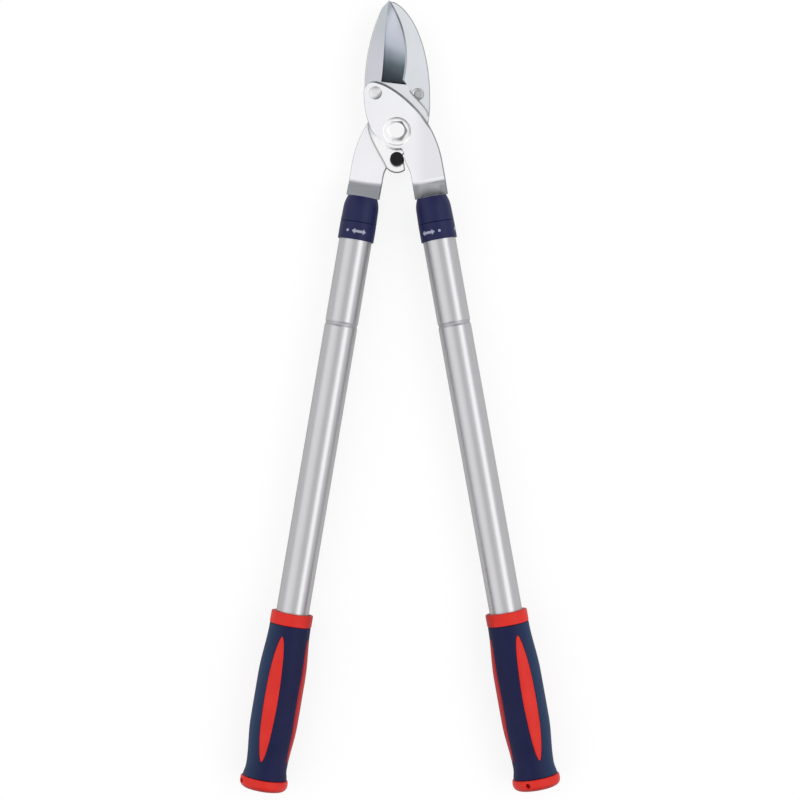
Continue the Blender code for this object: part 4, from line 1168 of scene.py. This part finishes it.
# %% Curves and points in the plan
JAW_REACH = 0.1158
JAW_HALF_WIDTH = 0.0290
PIVOT = Vector((0, 0))
ARM_HALF = 0.0147
ARM_STOP = ARM_HALF + 0.0026
BUMPER_DIAMETER = 0.0130
BUMPER_WAIST_RADIUS = 0.0049
BUMPER_ALONG = 0.0231
BUMPER_PLAY = 0.0004
HEEL_MARGIN = 0.0022


def polar(centre, radius, angle):
    """The point at a distance and an angle in degrees from a centre."""
    return Vector(centre) + radius * Vector((cos(radians(angle)), sin(radians(angle))))


def arc(centre, radius, start, end, steps):
    """Points round a circle from one angle to another, without the last."""
    return [polar(centre, radius, start + (end - start) * i / steps) for i in range(steps)]


def bezier(p0, p1, p2, p3, steps):
    """Points along a cubic curve, without the last."""
    shares = [i / steps for i in range(steps)]
    return [(1 - t) ** 3 * p0 + 3 * (1 - t) ** 2 * t * p1 + 3 * (1 - t) * t * t * p2 + t ** 3 * p3
            for t in shares]


def path(*parts):
    """One outline from curves and single points."""
    return [point for part in parts for point in ([part] if isinstance(part, Vector) else part)]


def swoop(start, start_angle, end, end_angle, steps, pulls=(0.35, 0.35)):
    """A curve that leaves one point and reaches another in given directions."""
    span = (end - start).length
    return bezier(start, polar(start, pulls[0] * span, start_angle), polar(end, -pulls[1] * span, end_angle),
                  end, steps)


def jaw(across, along):
    """A point on the jaws: across as a share of their half width, along -1 at the bolt, 1 at the tip."""
    reach = HOOK_RIVET.y if along < 0 else JAW_REACH - HOOK_RIVET.y
    return Vector((across * JAW_HALF_WIDTH, HOOK_RIVET.y + along * reach))


ACROSS = Vector((cos(HANDLE_LEAN), sin(HANDLE_LEAN)))
DOWN = Vector((sin(HANDLE_LEAN), -cos(HANDLE_LEAN)))


def handle_point(s, v):
    """A point of the right-hand handle in the plan."""
    return (HANDLE_OFFSET + v) * ACROSS + s * DOWN


bumper_centre = handle_point(BUMPER_ALONG, -(ARM_STOP + BUMPER_PLAY + BUMPER_DIAMETER / 2))
HEEL_RADIUS = bumper_centre.length - BUMPER_DIAMETER / 2 - HEEL_MARGIN
print("bumper at, mm:", [round(c * 1000, 1) for c in bumper_centre])

# %% [markdown]
# ## Plates with rounded edges
#
# A stamped plate has rounded edges, and they draw a thin darker line round it, which painted shade in the
# second finish makes darker still. The outline is raised to a plate, its upper and lower rims are
# bevelled, and the bevels and walls take the second finish.

# %% Raise a plate from its outline
DRILL_LENGTH = 0.05
FLAT_PLATE = 0.98
FLAT_TURNED = 0.95


def raised_plate(outline, base, thickness, ease, share_at=None):
    """A plate over an outline, with rounded rims; share_at gives a share of the ease at a place on the
    upper or the lower rim."""
    shape = raised(outline, base, thickness)
    weights = shape.edges.layers.float.new("bevel_weight_edge")
    for edge in shape.edges:
        if abs(edge.verts[0].co.z - edge.verts[1].co.z) < WELD:
            middle = (edge.verts[0].co + edge.verts[1].co) / 2
            edge[weights] = share_at(middle, middle.z < base + WELD) if share_at else 1.0
    piece = in_scene("plate", mesh_of(shape, "plate", 3))
    rim = piece.modifiers.new("rim", "BEVEL")
    rim.limit_method = "WEIGHT"
    rim.width = ease
    rim.segments = 3
    rim.use_clamp_overlap = share_at is None
    return tidied(steep_marked(taken_from(piece), FLAT_PLATE))


def steep_marked(mesh, flat, over=-1):
    """Gives the second finish to all faces that don't lie flat, above a height."""
    for face in mesh.polygons:
        face.material_index = int(abs(face.normal.z) < flat and face.center.z > over)
    return mesh


def holes(*places):
    """Bars that drill a plate for the bolt, and for a rivet or a pin at each place."""
    return [bar(BOLT_HOLE, 0, DRILL_LENGTH)] + [bar(PIN_HOLE, 0, DRILL_LENGTH, *place) for place in places]


def countersink(face, inward, centre):
    """The cone cut in a plate's face for the sunk end of a rivet; inward is 1 for up and -1 for down."""
    outer, inner = face - inward * SUNK_DEPTH, face + inward * SUNK_DEPTH
    section = [(0, outer), (SUNK_RADIUS, outer), (SUNK_RADIUS, face), (PIN_HOLE, inner), (0, inner)]
    return moved(turned(section, 48), *centre)


print("plate helpers ready")

# %% [markdown]
# ## The arms
#
# Both arms are the same stamping, one of them turned over. Each runs from its jaw, round the bolt and
# down into its handle. Above the handle it is pressed sideways in a flat S, called a joggle, so that both
# handles come out at the same height although the arms are in different layers. The joggle is made by
# cutting the flat arm across many times and raising the cuts along a ramp with a blended start.

# %% The arms
JOGGLE_START = SHOULDER - 0.0150
JOGGLE_LENGTH = 0.0150
JOGGLE_CUTS = 30
JOGGLE_BLEND = 0.12
CREASE_DROP = 0.0011
CREASE_SLANT = 0.10
TANG_HALF = 0.0080
TANG_MARGIN = 0.0002
TANG_END = SHOULDER + 0.0330
ARM_LOBE = 0.0103
ARM_CREST = 0.0279
ARM_WAIST = 0.0330
ARM_EASE = 0.0018
EASE_ACROSS = (-0.0060, 0.0060)
EASE_BY_JAWS_X = (-0.0270, -0.0120)
EASE_BY_JAWS_Y = (-0.0080, 0.0120)
EASE_SHARE_LEAST = 0.15
EASE_SHARE_BY_JAWS = 1.25
EASE_SHARE_OUTER = 0.60
LOW_EASE_SHARE = 0.55
LOW_EASE_OUTER_LESS = 0.40


def arm_outline():
    """The right arm in the plan, from its rivet lobe round the heel, down the tang and back."""
    down = degrees(HANDLE_LEAN) - 90
    meet = handle_point(sqrt(HEEL_RADIUS ** 2 - (HANDLE_OFFSET - ARM_STOP) ** 2), -ARM_STOP)
    heel_angle = degrees(atan2(meet.y, meet.x)) % 360 - 10
    bulge_start = handle_point(BUMPER_ALONG - BUMPER_DIAMETER / 4, -ARM_STOP)
    bulge_end = handle_point(BUMPER_ALONG + BUMPER_DIAMETER / 4, -ARM_STOP)
    inner_start = handle_point(BUMPER_ALONG + 1.2 * BUMPER_DIAMETER, -ARM_HALF)
    crest = polar(PIVOT, ARM_CREST, 17)
    return path(
        arc(BLADE_RIVET, ARM_LOBE, 80, 182, 18),
        swoop(polar(BLADE_RIVET, ARM_LOBE, 182), 272, polar(PIVOT, HEEL_RADIUS, 212), 322, 26, (0.57, 0.28)),
        arc(PIVOT, HEEL_RADIUS, 212, heel_angle, 18),
        swoop(polar(PIVOT, HEEL_RADIUS, heel_angle), heel_angle + 90, bulge_start, down, 7),
        bulge_start,
        swoop(bulge_end, down, inner_start, down, 10),
        inner_start,
        [handle_point(SHOULDER, -ARM_HALF), handle_point(SHOULDER, -TANG_HALF)],
        [handle_point(TANG_END, -TANG_HALF), handle_point(TANG_END, TANG_HALF)],
        [handle_point(SHOULDER, TANG_HALF), handle_point(SHOULDER, ARM_HALF)],
        swoop(handle_point(ARM_WAIST, ARM_HALF), down + 180, crest, 122, 18, (0.35, 0.3)),
        swoop(crest, 122, polar(BLADE_RIVET, ARM_LOBE, 80), 170, 30, (0.38, 0.2)))


def ramp_share(share):
    """A straight ramp from 0 to 1 with a short blend at its start."""
    if share < JOGGLE_BLEND:
        return share * share / (JOGGLE_BLEND * (2 - JOGGLE_BLEND))
    return (2 * share - JOGGLE_BLEND) / (2 - JOGGLE_BLEND)


def station(point):
    """How far down the right-hand handle a point lies."""
    return point.x * sin(HANDLE_LEAN) - point.y * cos(HANDLE_LEAN)


def outwards(point):
    """How far a point lies outwards from the axis of the right-hand handle."""
    return point.x * cos(HANDLE_LEAN) + point.y * sin(HANDLE_LEAN) - HANDLE_OFFSET


def bend_share(point):
    """How much of the joggle's drop a point gets. Its first crease slants a little across the arm."""
    start = JOGGLE_START + CREASE_DROP + CREASE_SLANT * outwards(point)
    end = JOGGLE_START + JOGGLE_LENGTH
    return ramp_share(min(max((station(point) - start) / (end - start), 0), 1))


def joggled(mesh, drop):
    """Bends a right-hand arm along its handle by a drop in height."""
    shape = bmesh.new()
    shape.from_mesh(mesh)
    for i in range(-1, JOGGLE_CUTS + 1):
        place = DOWN.to_3d() * (JOGGLE_START + JOGGLE_LENGTH * i / JOGGLE_CUTS)
        cut_across(shape, place, DOWN.to_3d(), WELD)
    for face in shape.faces:
        if face.material_index == 0 and station(face.calc_center_median()) > JOGGLE_START:
            face.material_index = 2
    for vert in shape.verts:
        vert.co.z += drop * bend_share(vert.co)
    shape.to_mesh(mesh)
    shape.free()
    return mesh


def smooth_rise(value, start, end):
    """0 before the start, 1 after the end, and a smooth rise between them."""
    share = min(max((value - start) / (end - start), 0), 1)
    return share * share * (3 - 2 * share)


def arm_ease(place, low):
    """The share of the rounding at a rim. The upper rim is rounded most along the edge by the jaws, less
    along the outer edge and hardly elsewhere. The lower rim is rounded on its inner edge. Inside the
    handle the tang has none."""
    if station(place) > SHOULDER - TANG_MARGIN:
        return 0.0
    outer = smooth_rise(outwards(place), *EASE_ACROSS)
    if low:
        return LOW_EASE_SHARE - LOW_EASE_OUTER_LESS * outer
    by_jaws = smooth_rise(place.x, *EASE_BY_JAWS_X) * smooth_rise(place.y, *EASE_BY_JAWS_Y)
    return max(EASE_SHARE_LEAST, EASE_SHARE_BY_JAWS * by_jaws, EASE_SHARE_OUTER * outer)


def arm_mesh():
    """One arm as the right-hand one, with its holes."""
    mesh = raised_plate(arm_outline(), FRONT_ARM_Z, ARM_THICKNESS, ARM_EASE, arm_ease)
    mesh = joggled(mesh, AXIS_HEIGHT - ARM_THICKNESS / 2 - FRONT_ARM_Z)
    return drilled(mesh, holes(BLADE_RIVET, handle_point(PIN_AT, 0)))


arm_finishes = [polished, cut_edge, bent]
finished("front_arm_polished", arm_mesh(), arm_finishes, "blade_side", "front_arm")
turned_over = arm_mesh()
middle = Matrix.Translation((0, 0, AXIS_HEIGHT))
turned_over.transform(middle @ Matrix.Rotation(pi, 4, "Y") @ middle.inverted())
finished("back_arm_polished", turned_over, arm_finishes, "hook_side", "back_arm")

# %% [markdown]
# ## The hook
#
# The hook holds the branch. It is the thickest plate. Its rims are rounded, and painted shade makes them
# darker than its face. Its tail ends in a round lug that grips the rubber bumper. The lug is open on one
# side, so that the bumper can be pressed in.

# %% The hook
HOOK_EASE = 0.0012
LUG_WALL = 0.0065
LUG_MOUTH = 38
LIP_SHARE = 0.32
LOWER_LIP_SHARE = 0.72


def hook_outline():
    """The hook in the plan, from its tip down the counter edge, round the lug and back up."""
    pocket = BUMPER_WAIST_RADIUS + GAP
    lug = pocket + LUG_WALL
    lip = pocket + LUG_WALL * LIP_SHARE
    throat, shelf = jaw(0.124, 0.126), jaw(-0.483, -0.262)
    shoulder, flank, crest = jaw(-0.885, -0.770), jaw(0.966, -0.712), jaw(1.014, 0)
    lug_start = polar(bumper_centre, lug, 214)
    run_in = degrees(atan2(lug_start.y - shoulder.y, lug_start.x - shoulder.x))
    return path(
        jaw(-0.150, 0.994),
        bezier(jaw(-0.286, 0.966), jaw(0.224, 0.696), jaw(0.293, 0.398), throat, 34),
        swoop(throat, 262, shelf, 205, 14),
        swoop(shelf, 205, shoulder, 265, 12),
        swoop(shoulder, 265, lug_start, run_in, 10, (0.25, 0.25)),
        arc(bumper_centre, lug, 214, 308, 16),
        [polar(bumper_centre, lug, 308), polar(bumper_centre, lip, -LOWER_LIP_SHARE * LUG_MOUTH)],
        arc(bumper_centre, pocket, 360 - LUG_MOUTH, LUG_MOUTH, 28),
        polar(bumper_centre, pocket, LUG_MOUTH),
        swoop(polar(bumper_centre, lip, LUG_MOUTH), 38, flank, 80, 20),
        bezier(flank, jaw(1.04, -0.289), jaw(1.005, -0.187), crest, 8),
        bezier(crest, jaw(1.000, 0.462), jaw(0.586, 0.887), jaw(-0.103, 1), 46))


hook = drilled(raised_plate(hook_outline(), HOOK_Z, HOOK_THICKNESS, HOOK_EASE),
               holes(HOOK_RIVET) + [countersink(HOOK_TOP, -1, HOOK_RIVET)])
finished("hook_ground", hook, [hook_flat, hook_rim], "hook_side", "hook_blade")

# %% [markdown]
# ## The blade
#
# The blade is flat where it lies against the arm, and hollow ground from a border line down to its
# curved cutting edge. At the heel the grinding stops at a step. The hollow is a grid whose rows go from
# the border to the edge, and the flat face is one polygon that ends at the same border, so the two meet
# without a boolean and the border stays crisp.

# %% The blade
EDGE_LAND = 0.0004
HOLLOW_DEPTH = 0.0006
HOLLOW_ROWS = 44
HOLLOW_COLUMNS = 10
HONED_WIDTH = 0.0016
HONED_SHARE_MOST = 0.3
STEP_SLOPE = 0.0022
SPINE_EASED = slice(5, 34)
FLANK_EASED = slice(90, 109)
SPINE_EASE = 0.0016
BLADE_LOBE = 0.0100
BLADE_HEEL_INSET = 0.0006
BLADE_TIP = jaw(-0.210, 0.999)
EDGE_TIP = jaw(-0.179, 0.996)
STEP_EDGE = jaw(0.324, 0.092)


def hollow_sections():
    """The border and the edge of the hollow, from heel to tip, as pairs of points."""
    border = path(
        jaw(-0.469, 0.126),
        bezier(jaw(-0.469, 0.129), jaw(-0.359, 0.362), jaw(-0.386, 0.696), BLADE_TIP, HOLLOW_ROWS),
        BLADE_TIP)
    edge = path(
        STEP_EDGE,
        bezier(jaw(0.234, 0.156), jaw(0.407, 0.424), jaw(0.328, 0.728), EDGE_TIP, HOLLOW_ROWS),
        EDGE_TIP)
    return list(zip(border, edge))


def spine_outline():
    """The blade's outline from its tip down the spine, round the tang and up to the step."""
    tang = HEEL_RADIUS - BLADE_HEEL_INSET
    corner, flank = jaw(0.962, -0.644), jaw(0.955, -0.485)
    spine_end, step = jaw(-0.966, 0.147), jaw(0.324, 0.103)
    return path(
        BLADE_TIP,
        bezier(jaw(-0.424, 0.921), jaw(-0.741, 0.705), jaw(-0.938, 0.407), spine_end, 30),
        spine_end,
        arc(BLADE_RIVET, BLADE_LOBE, 165, 235, 10),
        swoop(polar(BLADE_RIVET, BLADE_LOBE, 235), 325, polar(PIVOT, tang, 190), 280, 12),
        arc(PIVOT, tang, 190, 345, 24),
        swoop(polar(PIVOT, tang, 345), 75, corner, 85, 10),
        swoop(corner, 95, flank, 116, 5),
        swoop(flank, 116, step, 108, 18),
        [step, STEP_EDGE])


def at_height(shape, points, z):
    """New points of a shape, over points in the plan."""
    return [shape.verts.new((point.x, point.y, z)) for point in points]


def hollow_grid(shape, sections, top):
    """Rows of points from the border to the edge, where the last column is the honed bevel."""
    grid = []
    for border, edge in sections:
        honed = 1 - min(HONED_WIDTH / max((edge - border).length, WELD), HONED_SHARE_MOST)
        row = []
        for share in [honed * i / HOLLOW_COLUMNS for i in range(HOLLOW_COLUMNS + 1)] + [1.0]:
            sink = (BLADE_THICKNESS - EDGE_LAND) * share + HOLLOW_DEPTH * (1 - (2 * share - 1) ** 2)
            row += at_height(shape, [border + (edge - border) * share], top - sink)
        grid.append(row)
    return grid


def ease_spine(shape, spine, top):
    """Rounds the upper rim off along the spine and the flank, and marks the new faces."""
    eased_points = spine[SPINE_EASED] + spine[FLANK_EASED]
    rim = {tuple(round(c, 6) for c in (p.x, p.y, top)) for p in eased_points}
    chamfered = [e for e in shape.edges if all(tuple(round(c, 6) for c in v.co) in rim for v in e.verts)]
    made = bmesh.ops.bevel(shape, geom=chamfered, offset=SPINE_EASE, segments=2, profile=0.5, affect="EDGES")
    for face in made["faces"]:
        face.material_index = 4 if face.calc_center_median().x > 0 else 3


def blade_mesh():
    """The blade as one closed skin. The hollow takes the second finish and the honed bevel the third."""
    base, top = BLADE_Z, BLADE_Z + BLADE_THICKNESS
    shape = bmesh.new()
    spine = spine_outline()
    sections = hollow_sections()
    spine_top = at_height(shape, spine, top)
    spine_low = at_height(shape, spine, base)
    edge_low = at_height(shape, [edge for _, edge in sections[1:]], base)
    grid = hollow_grid(shape, sections, top)
    step_top = at_height(shape, [vert.co for vert in grid[0]], top)
    for vert in grid[0][1:-1]:
        vert.co.y += STEP_SLOPE * (top - vert.co.z) / BLADE_THICKNESS
    for near, far in zip(grid, grid[1:]):
        strip(shape, near[:-1], far[:-1], 1)
        strip(shape, near[-2:], far[-2:], 2)
    strip(shape, step_top, grid[0], 1)
    shape.faces.new(spine_top + step_top[::-1] + [row[0] for row in grid[1:-1]])
    shape.faces.new(spine_low + edge_low)
    strip(shape, spine_top[:-1], spine_low[:-1])
    shape.faces.new((spine_top[-2], spine_top[-1], grid[0][-1], spine_low[-1], spine_low[-2]))
    strip(shape, [row[-1] for row in grid], [spine_low[-1]] + edge_low)
    shape.faces.new([spine_low[0], edge_low[-1]] + grid[-1][::-1])
    bmesh.ops.remove_doubles(shape, verts=shape.verts, dist=WELD)
    bmesh.ops.recalc_face_normals(shape, faces=shape.faces)
    ease_spine(shape, spine, top)
    return mesh_of(shape, "plate", 5)


blade = drilled(blade_mesh(), holes(BLADE_RIVET) + [countersink(BLADE_Z, 1, BLADE_RIVET)])
finished("blade_hollow_ground", blade, [blade_flat, hollow, honed_steel, spine_steel, hook_rim], "blade_side",
         "cutting_blade", 30)

# %% [markdown]
# ## Bolt, nut, washers and rivets
#
# One bolt holds the two levers together. Its six-sided head is chamfered where a cone has turned its
# corners off, which is an intersection of a hexagon and a turned shape. The thread is hidden, so it is
# left plain.

# %% The pivot bolt and its nut
CROWN_SHARE = 0.83
CROWN_FALL = 0.6
SHANK_EASE = 0.0005
SHANK_REACH = 0.003
NUT_DRILL = (-0.01, 0.02)


def chamfered_hexagon(flats, low, high, at_low=False):
    """A six-sided bar whose corners are turned off at one end, or at both."""
    corner = flats / 2 / cos(pi / 6)
    bar_mesh = turned([(0, low), (corner, low), (corner, high), (0, high)], 6)
    corner += GAP
    crown = flats / 2 * CROWN_SHARE
    fall = (corner - crown) * CROWN_FALL
    start = [(0, low), (crown, low), (corner, low + fall)] if at_low else [(0, low), (corner, low)]
    cone = turned(start + [(corner, high - fall), (crown, high), (0, high)])
    return drilled(tidied(bar_mesh), [cone], "INTERSECT")


def fastener(name, mesh, finishes, body="hook_side", sharp=38):
    """Finishes the bolt, the nut, a washer or a rivet."""
    finished(name + "_plated", mesh, finishes, body, name, sharp)


head = chamfered_hexagon(BOLT_HEAD_FLATS, HEAD_Z, HEAD_Z + BOLT_HEAD_HEIGHT)
shank_top = HEAD_Z + SHANK_REACH
shank = softened([(0, 0), (BOLT_RADIUS, 0), (BOLT_RADIUS, shank_top), (0, shank_top)], SHANK_EASE,
                 closed=False)
bolt = steep_marked(drilled(head, [turned(shank, 64)], "UNION"), FLAT_TURNED, HEAD_Z)
fastener("pivot_bolt", bolt, [zinc, bolt_rim], sharp=25)

nut = chamfered_hexagon(NUT_FLATS, NUT_COLLAR_HEIGHT, NUT_HEIGHT, True)
nut = drilled(nut, [bar(NUT_COLLAR_RADIUS, 0, NUT_HEIGHT / 2, sides=64)], "UNION")
nut = drilled(nut, [bar(BOLT_HOLE, *NUT_DRILL)])
fastener("pivot_nut", nut, [zinc], sharp=25)

# %% Washers and rivets
WASHER_EASE = 0.0008
RIVET_SHANK = 0.0025
RIVET_HEAD_RADIUS = 0.0057
RIVET_RISE = 0.0022
RIVET_DOME = (0.8, 0.9)
RIVET_INSET = 0.0001
PUNCH_RING = [(0.0027, 0), (0.0033, 0.0005), (0.0037, 0.0005), (0.0047, 0), (0.0051, 0)]


def washer_section(base):
    """A flat washer's closed section, with rounded rims."""
    top = base + WASHER_THICKNESS
    return softened([(BOLT_HOLE, base), (WASHER_RADIUS, base), (WASHER_RADIUS, top), (BOLT_HOLE, top)],
                    WASHER_EASE)


def rivet(end, seat, inward, place):
    """A rivet: a sunk end with the ring that the punch left, the shank and a domed head."""
    section = [(0, end)] + [(radius, end + inward * depth) for radius, depth in PUNCH_RING]
    section += [(RIVET_SHANK, end + inward * SUNK_DEPTH), (RIVET_SHANK, seat)]
    wide, tall = RIVET_DOME
    section += [(RIVET_HEAD_RADIUS * cos(t) ** wide, seat + inward * RIVET_RISE * sin(t) ** tall)
                for t in QUARTER[:-1]]
    return moved(turned(section + [(0, seat + inward * RIVET_RISE)], 64), *place)


for name, base in (("head_washer", FRONT_WASHER_Z), ("nut_washer", BACK_WASHER_Z)):
    washer = steep_marked(turned(washer_section(base)), FLAT_TURNED)
    fastener(name, washer, [washer_face, washer_rim])
front_seat, back_seat = FRONT_ARM_Z + ARM_THICKNESS + GAP, BACK_ARM_Z - GAP
fastener("blade_rivet", rivet(BLADE_Z + RIVET_INSET, front_seat, 1, BLADE_RIVET), [rivet_zinc], "blade_side")
fastener("hook_rivet", rivet(HOOK_TOP - RIVET_INSET, back_seat, -1, HOOK_RIVET), [punched_zinc])

# %% [markdown]
# ## The rubber bumper
#
# When the jaws close, the opposite arm lands on a rubber plug, which softens the jolt in the hands. It
# is held by its waist in the hook's lug.

# %% The bumper
BUMPER_FLANGE = 0.0025
BUMPER_EASE = 0.0016
BUMPER_FACE_INSET = 0.0006
BUMPER_TIP_DROP = 0.0004


def bumper_section():
    """Half the bumper's section: back flange, waist and the tall front part."""
    flange = BUMPER_DIAMETER / 2
    face = flange - BUMPER_FACE_INSET
    front = FRONT_ARM_Z + ARM_THICKNESS - 2 * GAP
    over, under = HOOK_TOP + GAP, HOOK_Z - GAP
    back = under - BUMPER_FLANGE
    return softened([(0, back), (flange, back), (flange, under), (BUMPER_WAIST_RADIUS, under),
                     (BUMPER_WAIST_RADIUS, over), (face, over), (face, front - BUMPER_TIP_DROP), (0, front)],
                    BUMPER_EASE, 5, closed=False)


finished("bumper_moulded", moved(turned(bumper_section(), 64), *bumper_centre), [black_rubber], "hook_side",
         "rubber_bumper")

# %% [markdown]
# ## Parts inside the handles
#
# The sockets, pins, plugs and split rings sit inside the tubes and hardly ever show. Their CAD shapes
# are right as they are, so they only get a finish.

# %% Finishes for the inner parts
INNER_PARTS = {"tang_socket": plug_plastic, "tang_pin": zinc, "tube_end_plug": plug_plastic,
               "lock_collet": plug_plastic}
for side in SIDES:
    for part, material in INNER_PARTS.items():
        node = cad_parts[side + "_" + part]
        for slot in node.material_slots:
            slot.material = material
print("inner parts finished:", 2 * len(INNER_PARTS))

# %% [markdown]
# ## Floor and light
#
# The photograph was taken on white under two long soft lights, one on each side, with a gap right above
# the tool. That gap draws the thin dark line down the middle of each tube, and the lights draw the bright
# bands beside it. The floor and the world look white to the camera, and the floor keeps a faint shadow.

# %% The floor
WHITE = (1, 1, 1)
FLOOR_HALF = 6.0
FLOOR_DROP = 0.0004
FLOOR_GLOW = 1.03
FLOOR_PLAIN_SHARE = 0.8


def floor_finish():
    """Pale floor: mostly plain white to the camera, and the rest shows the tool's soft shadow."""
    material = bpy.data.materials.new("floor")
    material.use_nodes = True
    material.node_tree.nodes.clear()
    wire = Wire(material.node_tree)
    camera_ray = wire.node("ShaderNodeLightPath", output="Is Camera Ray")
    paint = wire.node("ShaderNodeBsdfDiffuse", None, {"Color": (0.9, 0.9, 0.9)})
    glow = wire.node("ShaderNodeEmission", None, {"Color": WHITE, "Strength": FLOOR_GLOW})
    mixed = wire.node("ShaderNodeMixShader", None, {0: camera_ray * FLOOR_PLAIN_SHARE, 1: paint, 2: glow})
    wire.node("ShaderNodeOutputMaterial", None, {"Surface": mixed})
    return material


floor_shape = bmesh.new()
corners = [(-FLOOR_HALF, -FLOOR_HALF), (FLOOR_HALF, -FLOOR_HALF), (FLOOR_HALF, FLOOR_HALF),
           (-FLOOR_HALF, FLOOR_HALF)]
floor_shape.faces.new([floor_shape.verts.new((x, y, -FLOOR_DROP)) for x, y in corners])
floor = in_scene("floor", mesh_of(floor_shape, "floor"))
floor.data.materials.append(floor_finish())
print("floor side, m:", 2 * FLOOR_HALF)

# %% The world and the two lights
LIGHT_LENGTH = 2.6
LIGHT_Y = -0.25


def studio_world():
    """White to the camera. To the tool: pale overhead and at both sides, and grey at both ends."""
    world = bpy.data.worlds.new("studio")
    world.use_nodes = True
    world.node_tree.nodes.clear()
    wire = Wire(world.node_tree)
    direction = wire.node("ShaderNodeTexCoord", output="Generated")
    above = eased(axis_of(direction, "Z"), 0.72, 0.95)
    beside = eased(abs(axis_of(direction, "X")), 0.20, 0.60)
    sky = blend_of(wire.sum_of("MAXIMUM", above, beside), (0.28, 0.285, 0.30), (0.91, 0.91, 0.915))
    camera_ray = wire.node("ShaderNodeLightPath", output="Is Camera Ray")
    colour = blend_of(camera_ray, sky, WHITE)
    light = wire.node("ShaderNodeBackground", None, {"Color": colour, "Strength": 1.0})
    wire.node("ShaderNodeOutputWorld", None, {"Surface": light})
    return world


def soft_light(name, x, height, width, watts):
    """A long soft light beside the tool, parallel to it and aimed at its middle."""
    lamp = bpy.data.lights.new(name, "AREA")
    lamp.shape = "RECTANGLE"
    lamp.size = width
    lamp.size_y = LIGHT_LENGTH
    lamp.energy = watts
    item = in_scene(name, lamp)
    item.location = (x, LIGHT_Y, height)
    item.rotation_euler = (0, atan2(x, height), 0)


scene = bpy.context.scene
scene.world = studio_world()
soft_light("right_light", 1.02, 1.25, 0.85, 9.0)
soft_light("left_light", -1.06, 1.15, 1.5, 6.2)
scene.view_settings.view_transform = "Standard"
print("lights: 2")
